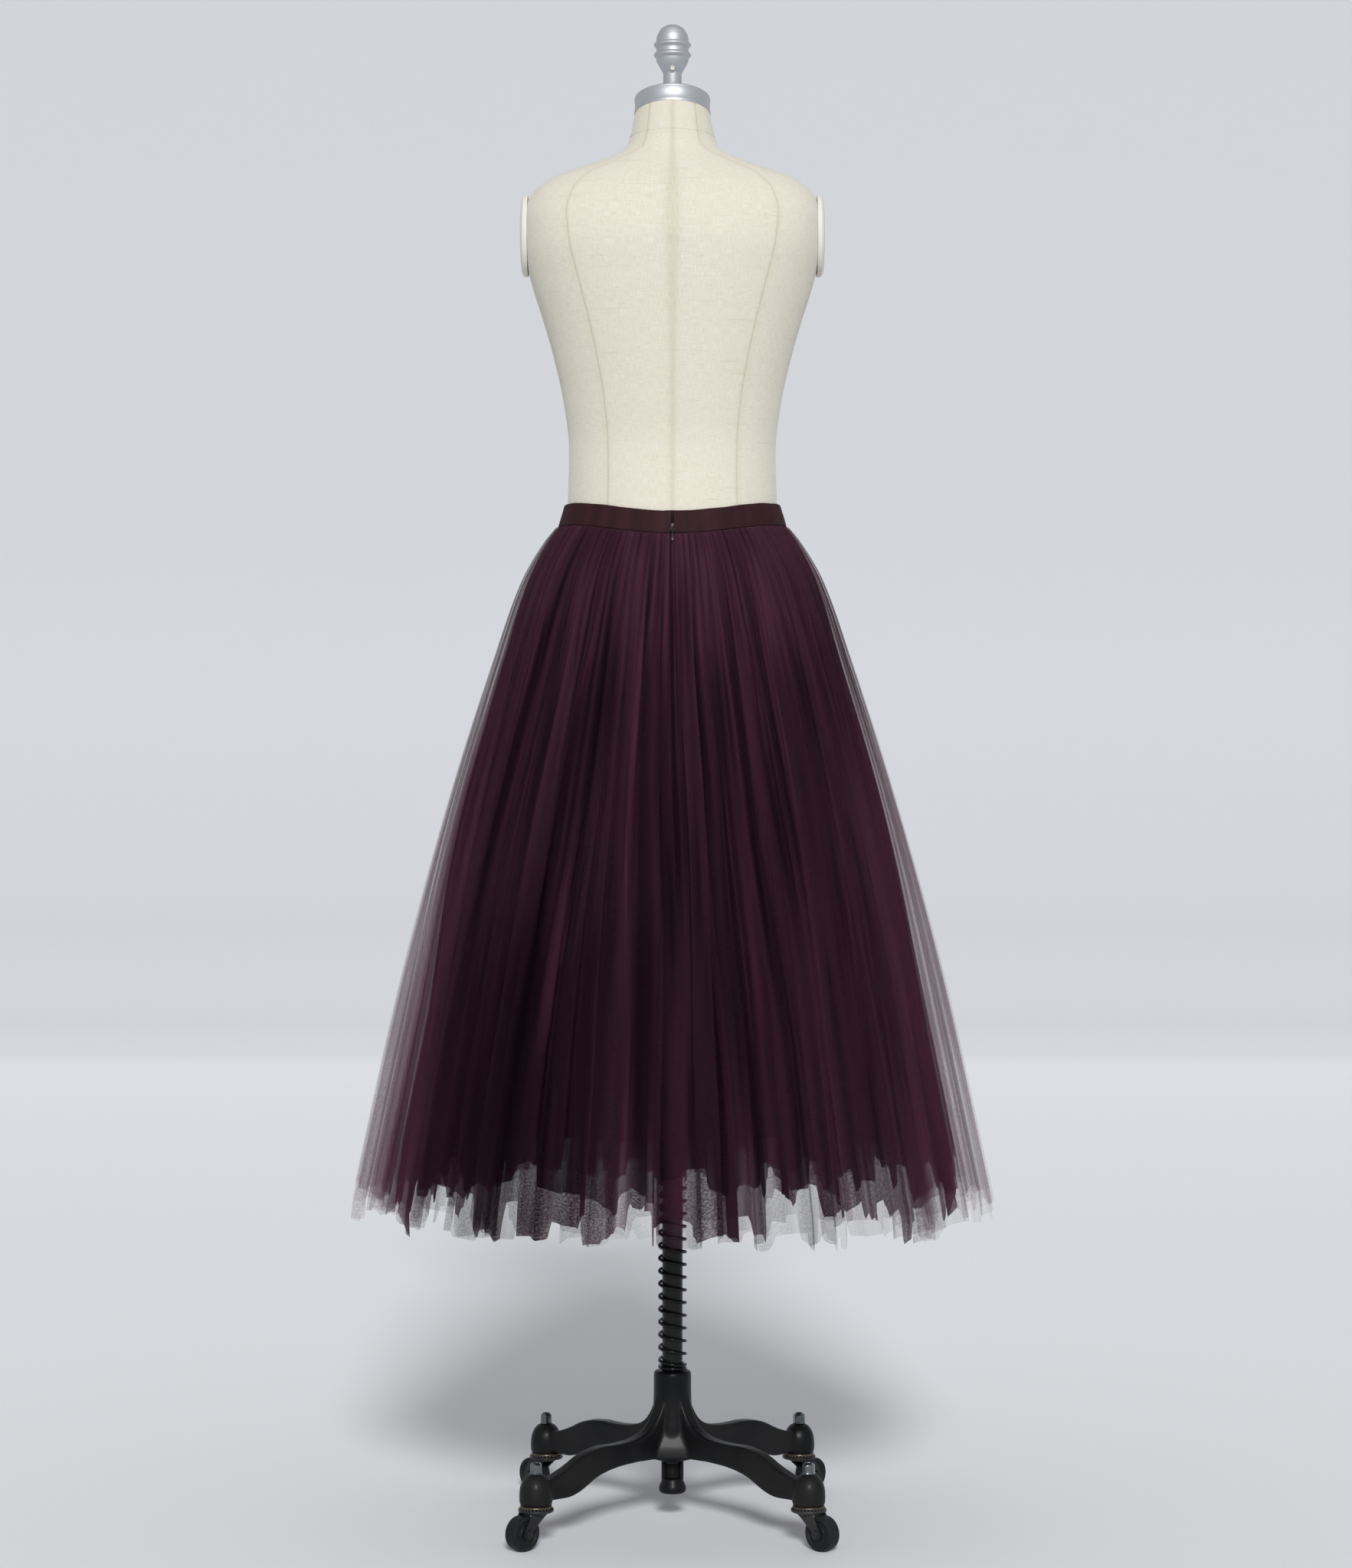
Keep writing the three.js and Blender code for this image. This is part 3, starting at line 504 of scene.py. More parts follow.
def buildUnderNets():
    angle = np.linspace(0, tau, underNets["columns"], endpoint=False)
    drops = dropRows(underNets["rows"], underNets["hems"][0])
    _, under, _, start, _, space = zones(angle, drops)
    fine, paintedGatherShade = gatherField(angle, drops, 8)
    fringe = foldKnots(120, 77, 0.6)
    third = foldKnots(underNets["flutes"][0], 55)
    fourth = foldKnots(underNets["flutes"][1], 89)
    depthThree, turnThree = foldField(third, angle, drops, underNets["open"], (0, 0.3), (0.5, 1), 1.5)
    depthFour, turnFour = foldField(fourth, angle, drops, underNets["open"], (0.2, 0.5), (0.7, 1.1), 2.2)
    insetThree = start + under * depthThree + 0.5 * fine
    insetFour = np.maximum(insetThree + 0.4 * space, start + under * depthFour)
    # random tone plus the painted shade of shadeField; with fold depth and gather creases below, it darkens
    # the dense nets as painted shade
    tone = 1.2 * toneField(angle, drops, 31, 44, 5)
    tone += shadeField(angle, drops)
    made = []
    for i, (inset, depth, folds, name) in enumerate(((insetThree, depthThree, third, "underNetOne"),
                                                      (insetFour, depthFour, fourth, "underNetTwo"))):
        hem = underNets["hems"][i]
        hang = 0.55 * hemField(folds, angle) + 1.15 * hemField(fringe, angle + i) + 0.7 * (depth[-1] - 0.4)
        columns = (angle, drops * hem / drops[-1], hang)
        turn = 0.6 * turnThree + sway(angle, drops, 1.5)
        if i == 1:
            turn = turn + 0.7 * turnFour * ease((insetFour - insetThree - space) / 3)
        crowd = 1.1 * toneField(angle, drops, 70 + i, 90, 5) * ease((drops - 250) / 300)[:, None]
        crowd -= 0.22 * ease((drops - 520) / 130)[:, None]
        made.append(clothLayer(name, hem, inset, turn, underNets["uneven"][i],
                               np.maximum(depth, paintedGatherShade) + tone, underNets["flat"], columns, crowd))
    return made


def buildLining():
    angle = np.linspace(0, tau, liningCut["columns"], endpoint=False)
    drops = dropRows(liningCut["rows"], liningCut["hem"])
    _, _, inner, _, start, _ = zones(angle, drops)
    folds = foldKnots(liningCut["flutes"], 144, 0.3, 0.1)
    depth, turn = foldField(folds, angle, drops, liningCut["hem"], (0, 0.2), (0.7, 1), 1.0)
    return clothLayer("liningCloth", liningCut["hem"], start + inner * depth, 0.15 * turn,
                      liningCut["uneven"], depth, liningCut["flat"], (angle, drops, hemField(folds, angle)))


outerPair = buildOuterNets()
underPair = buildUnderNets()
liningCloth = buildLining()
# each net's second colour is the painted shade it is darkened to; the sheer nets' last colour is painted
# light, as if lit from behind
outerTulle = netMaterial("sheerTulle", rgb(81, 46, 62), rgb(17, 4, 10), 0.155, 0.92, rgb(105, 58, 81))
underTulle = netMaterial("denseTulle", rgb(60, 25, 40), rgb(9, 1, 4), 0.72, 0.97)
# painted light: the second under net is a lighter copy of the dense net, standing in for light that comes
# through it where it hangs below the dense net
paintedBacklitTulle = netMaterial("paintedBacklitTulle", rgb(112, 54, 78), rgb(28, 9, 17), 0.62, 0.85)
liningSatin = satinMaterial("liningSatin", rgb(132, 30, 62), rgb(92, 20, 44), 0.34, 1500.0)
for net in outerPair:
    dress(net, outerTulle, "form", ["tulle_outer"])
for net, tulle in zip(underPair, (underTulle, paintedBacklitTulle)):
    dress(net, tulle, "form", ["tulle_middle"])
dress(liningCloth, liningSatin, "form", ["lining"])
print("skirt layers ready")

# The form: half widths at the side, front and back, and how square the section is, for each height
formRows = [(860, 151, 108, 112, 2), (970, 155, 109, 119, 2), (1018, 151, 107, 116, 2),
            (1060, 142, 102.5, 108, 2), (1105, 128.5, 97.5, 96.5, 2), (1125, 123, 94.4, 92.6, 2),
            (1146, 118, 91.5, 89.5, 2), (1206, 116.5, 88, 84, 2.05), (1258, 122.5, 94, 90, 2.1),
            (1310, 134, 105, 98, 2.2), (1352, 146, 112, 104, 2.3), (1390, 158, 112, 109, 2.4),
            (1430, 167, 103, 112, 2.6), (1462, 168.5, 90, 107, 2.7), (1488, 161, 74, 94, 2.6),
            (1508, 140, 60, 79, 2.4), (1522, 104, 52, 67, 2.2), (1533, 74, 49, 58, 2.1),
            (1542, 56, 46.5, 52, 2), (1553, 49.5, 44.5, 48, 2), (1583, 42.4, 42.4, 42.4, 2)]
form = {"flatSide": 162.5, "neckStart": 1550, "neckTop": 1583, "tilt": math.radians(13),
        "bust": (1385, 72, 20, 40, 38), "seamDeep": 0.7, "seamWide": 1.3, "foot": 860,
        "neckSeam": 1556.3, "backRadius": 97}


def formPoints(angle, z, out=0.0):
    side, front, back, square = (between(formRows, z, i) for i in (1, 2, 3, 4))
    c, s = np.cos(angle), np.sin(angle)
    depth = np.where(s > 0, front, back)
    x = side * np.sign(c) * np.abs(c) ** (2 / square)
    y = depth * np.sign(s) * np.abs(s) ** (2 / square)
    x = np.clip(x, -form["flatSide"], form["flatSide"])
    bz, bx, reach, wide, tall = form["bust"]
    swell = reach * np.exp(-(((np.abs(x) - bx) / wide) ** 2) - ((z - bz) / tall) ** 2)
    y = y + np.where(y > 0, swell * np.minimum(1, np.maximum(y, 0) / (0.6 * depth)), 0)
    nx, ny = c / side, s / depth
    size = np.hypot(nx, ny)
    lean = np.maximum(0, z - form["neckStart"]) / (form["neckTop"] - form["neckStart"])
    height = z - lean * y * math.tan(form["tilt"])
    return np.stack([x + nx / size * out, y + ny / size * out, height], axis=-1)


def buildForm():
    # columns crowd at the seams: sides, centre front and back, and one between each pair
    seams = np.radians([-90, -52, 0, 52, 90, 128, 180, 232])
    closeBy = np.radians([-1.6, -0.9, -0.45, 0, 0.45, 0.9, 1.6])
    angle = np.concatenate([np.linspace(-math.pi / 2, 1.5 * math.pi, 200, endpoint=False)]
                           + [s + closeBy for s in seams])
    angle = np.unique(np.round((angle + math.pi / 2) % tau, 5)) - math.pi / 2
    neckSeam = [1553, 1554.6, 1555.6, form["neckSeam"], 1557, 1558, 1559.6]
    rows = np.arange(form["foot"], form["neckTop"], 4.6)
    z = np.unique(np.concatenate([rows, neckSeam, [form["neckTop"]]]))[::-1]
    grid, heights = np.meshgrid(angle, z)
    side = between(formRows, heights, 1)
    near = np.min(np.abs((grid[..., None] - seams + math.pi) % tau - math.pi), axis=-1) * side
    dent = -form["seamDeep"] * np.exp(-((near / form["seamWide"]) ** 2))
    dent -= 0.9 * np.exp(-((heights - form["neckSeam"]) ** 2))
    points = formPoints(grid, heights, dent)
    u = np.append(angle, angle[0] + tau) * 0.12
    flat = np.stack(np.broadcast_arrays(u[None, :], z[:, None] * mm), axis=-1)
    return gridPiece("formCover", points, flat, True, {"seam": np.exp(-((near / 3.5) ** 2))})


def linenMaterial():
    material, tree, shader = newMaterial("creamLinen", {"Roughness": 0.88, "Sheen Weight": 0.2})
    place = clothPlace(tree)
    warp = noise(tree, stretched(tree, place, (1, 0.06, 1)), 1700.0, 2.0)
    weft = noise(tree, stretched(tree, place, (0.06, 1, 1)), 1700.0, 2.0)
    slub = noise(tree, stretched(tree, place, (0.05, 1, 1)), 260.0, 2.0)
    weave = math2(tree, "ADD", warp, weft)
    color = mixColor(tree, remap(tree, weave, 0.7, 1.3, 0, 1), rgb(202, 196, 179), rgb(221, 216, 202))
    color = mixColor(tree, remap(tree, slub, 0.62, 0.8, 0, 0.5), color, rgb(190, 181, 158))
    color = mixColor(tree, remap(tree, markOf(tree, "seam"), 0, 1, 0, 0.3), color, rgb(176, 164, 140))
    tree.links.new(color, shader.inputs["Base Color"])
    bump(tree, shader, weave, 0.15, 0.0002)
    return material


formCover = buildForm()
dress(formCover, linenMaterial(), "form", ["form_body"])
print("form ready")

# The waistband: one satin strip folded over at its top, open at centre back for the zip
band = {"high": 25, "clear": 1.1, "thick": 2.6, "flare": 0.6, "slit": 2.6, "columns": 420}


def buildBand():
    half = band["slit"] / 2 / form["backRadius"]
    angle = np.linspace(-math.pi / 2 + half, 1.5 * math.pi - half, band["columns"])
    r = np.random.default_rng(4)
    wave = np.interp(angle, np.linspace(angle[0], angle[-1], 40), r.uniform(-0.35, 0.35, 40))
    section = [(1, 0), (0.6, 0), (0.2, 0), (0.05, 0.1), (0.01, 0.6), (0, 1.3), (0.01, 2.0)]
    section += [(0.04, 2.45), (0.1, 2.62)]
    section += [(d, band["thick"] + band["flare"] * d) for d in (0.2, 0.32, 0.45, 0.58, 0.7, 0.8, 0.88, 0.94)]
    section += [(0.98, 3.0), (1.0, 2.6), (1.0, 1.6)]
    rows = []
    for down, out in section:
        crease = 0.12 * np.sin(angle * 23 + 6 * down) * np.sin(angle * 7 + 2) if out > 2.3 else 0
        z = bandTop(angle) + wave * (1 - down) - down * band["high"]
        rows.append(formPoints(angle, z, band["clear"] + out + crease))
    points = np.array(rows)
    length = np.linspace(0, 0.77, len(angle))
    along = np.concatenate([[0], np.cumsum(np.linalg.norm(np.diff(points[:, 50], axis=0), axis=1))]) * mm
    flat = np.stack(np.broadcast_arrays(length[None, :], along[:, None]), axis=-1)
    return gridPiece("waistbandCloth", points, flat, False), along[-1]


waistbandCloth, bandWide = buildBand()
bandSatin = satinMaterial("bandSatin", rgb(54, 28, 33), rgb(38, 18, 23), 0.7, 1200.0)
dress(waistbandCloth, bandSatin, "form", ["waistband"])
print("waistband ready")

# Floor and backdrop in one pale sweep
sweep = {"front": -10.0, "bend": 6.0, "radius": 1.6, "top": 6.0, "wide": 11.0}


def buildStage():
    t = np.linspace(0, math.pi / 2, 16)
    wall = sweep["bend"] + sweep["radius"]
    y = np.concatenate([[sweep["front"]], sweep["bend"] + sweep["radius"] * np.sin(t), [wall]])
    z = np.concatenate([[0], sweep["radius"] * (1 - np.cos(t)), [sweep["top"]]])
    x = np.linspace(sweep["wide"], -sweep["wide"], 5)
    points = np.stack(np.broadcast_arrays(x[None, :], y[::-1, None], z[::-1, None]), axis=-1) / mm
    flat = points[:, :, :2] * mm
    return gridPiece("sweep", points, flat, False)


floor = buildStage()
floorPaint, floorTree, floorShader = newMaterial("palePaper", {"Roughness": 0.9})
height = addNode(floorTree, "SeparateXYZ", {0: objectPlace(floorTree)})
# painted shade: the paper is painted greyer where it turns up and faces the light, so floor and wall look
# alike
paperShadePaint = floorTree.nodes.new("ShaderNodeValToRGB")
paperShadeTones = [(0, 226), (0.02, 208), (0.06, 198), (0.23, 188), (0.49, 187), (1, 191)]
for i, (place, tone) in enumerate(paperShadeTones):
    stop = paperShadePaint.color_ramp.elements[i] if i < 2 else paperShadePaint.color_ramp.elements.new(place)
    stop.position = place
    stop.color = rgb(tone, tone + 2, tone + 5)
floorTree.links.new(remap(floorTree, height.outputs["Z"], 0, 1.6, 0, 1), paperShadePaint.inputs[0])
floorTree.links.new(paperShadePaint.outputs[0], floorShader.inputs["Base Color"])
floor.data.materials.append(floorPaint)

studio = {"air": (0.975, 0.98, 1.0, 1), "glow": 0.46, "keyFrom": (0.2, -3.4, 2.84), "keyAt": (0, 0, 0.8),
          "keySpread": 0.2, "keyPower": 2.45}
world = bpy.data.worlds.new("studio")
bpy.context.scene.world = world
world.use_nodes = True
for i, key in enumerate(("air", "glow")):
    world.node_tree.nodes["Background"].inputs[i].default_value = studio[key]


def addKeyLight():
    data = bpy.data.lights.new("keyLight", "SUN")
    data.energy = studio["keyPower"]
    data.angle = studio["keySpread"]
    obj = bpy.data.objects.new("keyLight", data)
    obj.location = studio["keyFrom"]
    aim = Vector(studio["keyAt"]) - Vector(studio["keyFrom"])
    obj.rotation_euler = aim.to_track_quat("-Z", "Y").to_euler()
    bpy.context.collection.objects.link(obj)


addKeyLight()


# Solid pieces: small helpers that work as by hand
def tidyMesh(obj, bevelWidth=0.0, segments=2, angle=35, smooth=35):
    editAll(obj)
    bpy.ops.mesh.remove_doubles(threshold=0.00001)
    bpy.ops.mesh.normals_make_consistent(inside=False)
    stopEditing()
    if bevelWidth:
        bevel = obj.modifiers.new("edges", "BEVEL")
        bevel.width = bevelWidth * mm
        bevel.segments = segments
        bevel.limit_method = "ANGLE"
        bevel.angle_limit = math.radians(angle)
        applyModifiers(obj)
    bpy.ops.object.shade_smooth_by_angle(angle=math.radians(smooth))
    return obj


def turned(name, profile, sides=48, hollow=False, bevelWidth=0.5, segments=2):
    # rings of (radius, height) in mm, each pulled out of the one before
    clearSelection()
    radius, height = profile[0]
    fill = "NOTHING" if hollow else "NGON"
    bpy.ops.mesh.primitive_circle_add(vertices=sides, radius=radius * mm, fill_type=fill, location=(0, 0, 0))
    obj = bpy.context.object
    obj.name = obj.data.name = name
    editAll(obj)
    bpy.ops.transform.translate(value=(0, 0, height * mm))
    for nextRadius, nextHeight in profile[1:]:
        bpy.ops.mesh.extrude_region_move(TRANSFORM_OT_translate={"value": (0, 0, (nextHeight - height) * mm)})
        size = nextRadius / radius
        bpy.ops.transform.resize(value=(size, size, 1), center_override=(0, 0, nextHeight * mm))
        radius, height = nextRadius, nextHeight
    stopEditing()
    return tidyMesh(obj, bevelWidth, segments)


def cutOut(name, outline, thick, bevelWidth=0.5, segments=2):
    # an outline in mm in the XZ plane, pulled out by its thickness along Y and centred on it
    clearSelection()
    bpy.ops.mesh.primitive_circle_add(vertices=len(outline), radius=0.01, fill_type="NGON",
                                      location=(0, 0, 0))
    obj = bpy.context.object
    obj.name = obj.data.name = name
    for vertex, (x, z) in zip(obj.data.vertices, outline):
        vertex.co = (x * mm, -thick / 2 * mm, z * mm)
    editAll(obj)
    bpy.ops.mesh.extrude_region_move(TRANSFORM_OT_translate={"value": (0, thick * mm, 0)})
    stopEditing()
    return tidyMesh(obj, bevelWidth, segments)


def curve(points, steps):
    # points of one smooth curve through the given ones
    p = np.array([points[0], *points, points[-1]], float)
    out = []
    for i in range(1, len(p) - 2):
        for t in np.linspace(0, 1, steps, endpoint=False):
            a, b, c, d = p[i - 1:i + 3]
            out.append(tuple(0.5 * (2 * b + (c - a) * t + (2 * a - 5 * b + 4 * c - d) * t**2
                                    + (3 * b - a - 3 * c + d) * t**3)))
    return out + [tuple(p[-1])]


def bowed(start, control, end, steps=6):
    t = np.linspace(0, 1, steps + 1)[1:, None]
    a, b, c = (np.array(v, float) for v in (start, control, end))
    return [tuple(v) for v in (1 - t) ** 2 * a + 2 * t * (1 - t) * b + t**2 * c]


def placed(obj, matrix, name):
    # a copy with its own mesh, its place in the mesh
    copy = bpy.data.objects.new(name, obj.data.copy())
    copy.data.name = copy.name
    copy.data.transform(matrix)
    bpy.context.collection.objects.link(copy)
    return copy


def joined(parts, name):
    clearSelection()
    for part in parts:
        part.select_set(True)
    bpy.context.view_layer.objects.active = parts[0]
    bpy.ops.object.join()
    parts[0].name = parts[0].data.name = name
    return parts[0]


def scrap(*objs):
    for obj in objs:
        bpy.data.objects.remove(obj, do_unlink=True)


def moved(x=0, y=0, z=0):
    return Matrix.Translation((x * mm, y * mm, z * mm))


def turnedBy(degrees, axis):
    return Matrix.Rotation(math.radians(degrees), 4, axis)


def carried(node, name, bevelWidth):
    # the fixed model's own shape, with softened edges
    copy = placed(nodes[node], Matrix.Identity(4), name)
    for modifier in list(copy.modifiers):
        copy.modifiers.remove(modifier)
    return tidyMesh(copy, bevelWidth, 2, 30, 30)


def buildWear():
    group, start, end = newGroup(
        "edgeWear",
        [("Place", "Vector"), ("Size", "Float"), ("Share", "Float")],
        ["Worn", "Dust"],
    )
    spots = noise(group, start.outputs["Place"], start.outputs["Size"], 6.0, 0.7)
    low = math2(group, "SUBTRACT", 0.86, math2(group, "MULTIPLY", start.outputs["Share"], 0.3))
    over = math2(group, "SUBTRACT", spots, low)
    group.links.new(math2(group, "MULTIPLY", over, 14.0, clamp=True), end.inputs["Worn"])
    soft = noise(group, start.outputs["Place"], 9.0, 4.0, 0.6)
    group.links.new(remap(group, soft, 0.35, 0.7, 0, 1), end.inputs["Dust"])
    return group


wearGroup = buildWear()


def wornMaterial(name, color, wornColor, metallic, roughness, size=60.0, share=0.5, coat=0.0, grain=0.0):
    settings = {"Specular IOR Level": 0.14, "Coat Weight": coat, "Coat Roughness": 0.15, "Metallic": metallic}
    material, tree, shader = newMaterial(name, settings)
    place = objectPlace(tree)
    wear = addNode(tree, "Group", {"Place": place, "Size": size, "Share": share}, node_tree=wearGroup)
    dusty = [0.75 * c + 0.25 * w for c, w in zip(color, wornColor)]
    base = mixColor(tree, wear.outputs["Dust"], color, dusty)
    tree.links.new(mixColor(tree, wear.outputs["Worn"], base, wornColor), shader.inputs["Base Color"])
    rough = remap(tree, wear.outputs["Dust"], 0, 1, roughness - 0.07, roughness + 0.1)
    tree.links.new(rough, shader.inputs["Roughness"])
    if grain:
        bump(tree, shader, noise(tree, place, grain, 3.0, 0.6), 0.2, 0.0005)
    return material


enamel = wornMaterial("blackEnamel", rgb(8, 9, 12), rgb(58, 56, 54), 0.0, 0.46, 70.0, 0.4, 0.03, 260.0)
springPaint = wornMaterial("springBlack", rgb(6, 7, 9), rgb(80, 78, 76), 0.0, 0.26, 160.0, 0.42, 0.15)
poleSteel = wornMaterial("poleBlack", rgb(20, 21, 23), rgb(84, 80, 76), 0.2, 0.36, 120.0, 0.48, 0.1)
silver = wornMaterial("castSilver", rgb(196, 199, 204), rgb(138, 140, 144), 0.8, 0.5, 240.0, 0.5, 0.0, 900.0)
nutChrome = wornMaterial("darkChrome", rgb(104, 110, 114), rgb(170, 170, 170), 0.95, 0.17, 200.0, 0.5)
forkSteel = wornMaterial("forkSteel", rgb(36, 37, 40), rgb(120, 118, 114), 0.6, 0.38, 120.0, 0.5)
raceBrass = wornMaterial("raceBrass", rgb(96, 88, 78), rgb(40, 37, 35), 0.8, 0.36, 160.0, 0.55)
rubber = wornMaterial("darkRubber", rgb(18, 19, 21), rgb(70, 70, 70), 0.0, 0.5, 140.0, 0.4, 0.0, 500.0)
zipEnamel = wornMaterial("zipEnamel", rgb(34, 20, 28), rgb(90, 76, 86), 0.3, 0.3, 900.0, 0.45)
plainBoard = wornMaterial("plainBoard", rgb(190, 160, 115), rgb(150, 120, 80), 0.0, 0.75, 60.0, 0.6)
paleMoulding = wornMaterial("paleMoulding", rgb(222, 219, 210), rgb(196, 190, 178), 0.0, 0.42, 120.0, 0.5)
print("finishes ready")

# Neck: a tilted cap and its turned knob
neck = {"tilt": 13.0, "top": 1583.3, "knobFoot": 1604.85, "screw": (0, -11, 1634)}
capSection = [(40, 0), (43, 0), (43, 3.2), (42.4, 4.2), (42.4, 16.6), (43, 17.6), (42.6, 19.6), (40.6, 21)]
capSection += [(24, 21.4), (8, 21.4)]
neckCap = turned("neckCap", capSection, 96, bevelWidth=0.4)
neckCap.data.transform(moved(z=neck["top"]) @ turnedBy(-neck["tilt"], "X"))
dress(neckCap, silver, "form", ["neck_cap"])
knobSection = [(10.5, 0), (10.5, 24)] + curve([(10.6, 26), (13.5, 31), (17.4, 38), (18.4, 42.6)], 5)
knobSection += [(19.4, 43.6), (21.0, 45.2), (21.1, 46.6), (19.6, 48.6), (18.4, 49.6), (18.2, 54.4)]
knobSection += [(19.4, 55.2), (21.0, 56.8), (21.1, 58.2), (19.6, 60)]
knobSection += curve([(18.4, 60.8), (18.2, 64), (17.2, 68.5), (13.2, 75.5), (6.8, 79.6), (0.6, 80.6)], 5)
knob = turned("finial", knobSection, 64, bevelWidth=0.35)
for vertex in knob.data.vertices:
    if vertex.co.z < 2 * mm:
        vertex.co.z -= vertex.co.y * math.tan(math.radians(neck["tilt"])) - 0.3 * mm
knob.data.transform(moved(z=neck["knobFoot"]))
dress(knob, silver, "form", ["finial"])
screw = turned("finialScrew", [(0.5, 4.2), (1.2, 4.2), (1.2, 5.2), (2.3, 5.2), (2.4, 4.6), (2.4, -0.5)], 24,
               bevelWidth=0.15)
screw.data.transform(moved(*neck["screw"]) @ turnedBy(90, "X") @ moved(z=-1.5))
dress(screw, paleMoulding, "form", ["finial_screw"])

# Oval plates that close the shoulders' ends
armPlate = {"x": 162.8, "z": 1447, "halfHeight": 46, "halfDepth": 40, "thick": 8.5}
plateSection = [(1, 0), (1, 0.42), (0.985, 0.56), (0.95, 0.7),
                (0.88, 0.82), (0.7, 0.93), (0.5, 0.985), (0.2, 1.0)]
plateRings = [(armPlate["halfDepth"] * r, armPlate["thick"] * h) for r, h in plateSection]
ovalPlate = turned("ovalPlate", plateRings, 64, bevelWidth=0)
for side, node in ((1, "arm_plate_right"), (-1, "arm_plate_left")):
    stretch = Matrix.Diagonal((armPlate["halfHeight"] / armPlate["halfDepth"], 1, 1, 1))
    spot = moved(side * armPlate["x"], 0, armPlate["z"]) @ turnedBy(90 * side, "Y") @ stretch
    plate = placed(ovalPlate, spot, "armPlateRight" if side > 0 else "armPlateLeft")
    dress(tidyMesh(plate), paleMoulding, "form", [node])
scrap(ovalPlate)

# Under the form: the board that closes it and the tube that slides on the pole
underRing = formPoints(np.linspace(0, tau, 72, endpoint=False), np.full(72, 860.0), -4.0)
board = cutOut("formBoard", [(x, y) for x, y, _ in underRing], 6, 0.6)
board.data.transform(moved(z=856.7) @ turnedBy(90, "X"))
dress(tidyMesh(board), plainBoard, "form", ["form_board"])
sleeveSection = [(11.9, 492), (17, 492), (17, 501), (15, 501), (15, 848), (38, 848), (38, 853), (15, 853),
                 (15, 1000), (11.9, 1000), (11.9, 492)]
sleeve = turned("sleeve", sleeveSection, 48, hollow=True, bevelWidth=0.6)
dress(sleeve, poleSteel, "form", ["sleeve"])
print("form's fittings ready")

# Pole with its threaded end, side bars and bumper
threadRings = ((7.4, 0), (8.8, 0.7), (8.8, 1.1))
poleSection = [(7.4, 47)] + [(r, 47.4 + 1.9 * i + up) for i in range(9) for r, up in threadRings]
poleSection += [(9.4, 65), (11.4, 67), (11.5, 69), (11.5, 900)]
pole = turned("pole", poleSection, 48, bevelWidth=0.12, segments=1)
dress(pole, poleSteel, "stand", ["pole"])
footSection = [(9, 30), (12.8, 30), (14.6, 31.2), (15.3, 33.2), (15.3, 36.4), (14.2, 39.4), (12.4, 43),
               (11.6, 45.6), (9, 46.6)]
foot = turned("poleFoot", footSection, 48, bevelWidth=0.4)
bar = turned("sideBar", [(2.6, 44), (2.9, 45), (2.9, 68.5), (2.4, 69.5)], 16, bevelWidth=0.3)
bars = [placed(bar, moved(x=side * 9.6) @ Matrix.Diagonal((1, 2.0, 1, 1)), "barCopy") for side in (-1, 1)]
scrap(bar)
dress(joined([foot, *bars], "poleFoot"), enamel, "stand", ["pole_foot"])

# Spring: one wire wound round the pole, closed at both ends
spring = {"bottom": 168.3, "top": 491.7, "turns": 24, "coil": 14.6, "wire": 1.95, "steps": 30, "sides": 10}


def buildSpring():
    turns, wire = spring["turns"], spring["wire"]
    s = np.linspace(0, turns, turns * spring["steps"] + 1)
    closed = 2 * wire + 0.2
    wound = np.clip(s - 1.2, 0, turns - 2.4)
    pitch = (spring["top"] - spring["bottom"] - 2 * wire - 2.4 * closed) / (turns - 2.4)
    z = spring["bottom"] + wire + (s - wound) * closed + wound * pitch
    turn = -s * tau  # a left-hand spring
    out = np.stack([np.cos(turn), np.sin(turn), 0 * turn], axis=-1)
    up = np.array([0, 0, 1.0])
    around = np.linspace(0, -tau, spring["sides"], endpoint=False)
    centre = out * spring["coil"] + z[:, None] * up
    section = np.cos(around)[None, :, None] * out[:, None] + np.sin(around)[None, :, None] * up
    points = centre[:, None] + wire * section
    flat = np.zeros((len(s), spring["sides"] + 1, 2))
    obj = gridPiece("spring", points, flat, True)
    editAll(obj)
    bpy.ops.mesh.select_all(action="DESELECT")
    bpy.ops.mesh.select_non_manifold()
    bpy.ops.mesh.edge_face_add()
    bpy.ops.mesh.select_all(action="SELECT")
    bpy.ops.mesh.normals_make_consistent(inside=False)
    stopEditing()
    return obj


springWire = buildSpring()
springWire.data.materials.append(springPaint)
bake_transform(springWire)
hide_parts("spring")
print("pole and spring ready")

# Base: hub, four arms and the bosses at their ends, cast in one
base = {"armWide": 17, "reach": 209.3, "grain": 1.35}
hubSection = [(11.9, 68), (21, 68), (24, 72), (25, 88), (24, 108)]
hubSection += curve([(23, 116), (21.6, 132), (21.2, 150)], 4)
hubSection += [(21.2, 163.5), (20.6, 166.5), (19, 168), (11.9, 168), (11.9, 68)]
webSection = [(20, 72.5), (44, 72.5)]
webSection += curve([(44, 74), (41, 84), (34, 98), (28, 112), (23, 128), (20, 142)], 4)
armOutline = [(14, 72), (60, 73)] + bowed((60, 73), (112, 73), (134, 60))
armOutline += bowed((134, 60), (156, 48), (172, 49))
armOutline += [(205.3, 50), (205.3, 70)] + bowed((205.3, 70), (172, 77), (150, 89))
armOutline += bowed((150, 89), (128, 99), (96, 97)) + bowed((96, 97), (56, 96), (40, 107))
armOutline += bowed((40, 107), (24, 119), (20, 144)) + [(14, 144)]
bossTop = curve([(17.4, 66), (15.2, 72), (12, 76.6), (8.4, 79.4), (3, 80.6)], 4)
bossSection = [(6, 47), (17, 47), (18, 49.5), (18.2, 56), (18, 61)] + bossTop


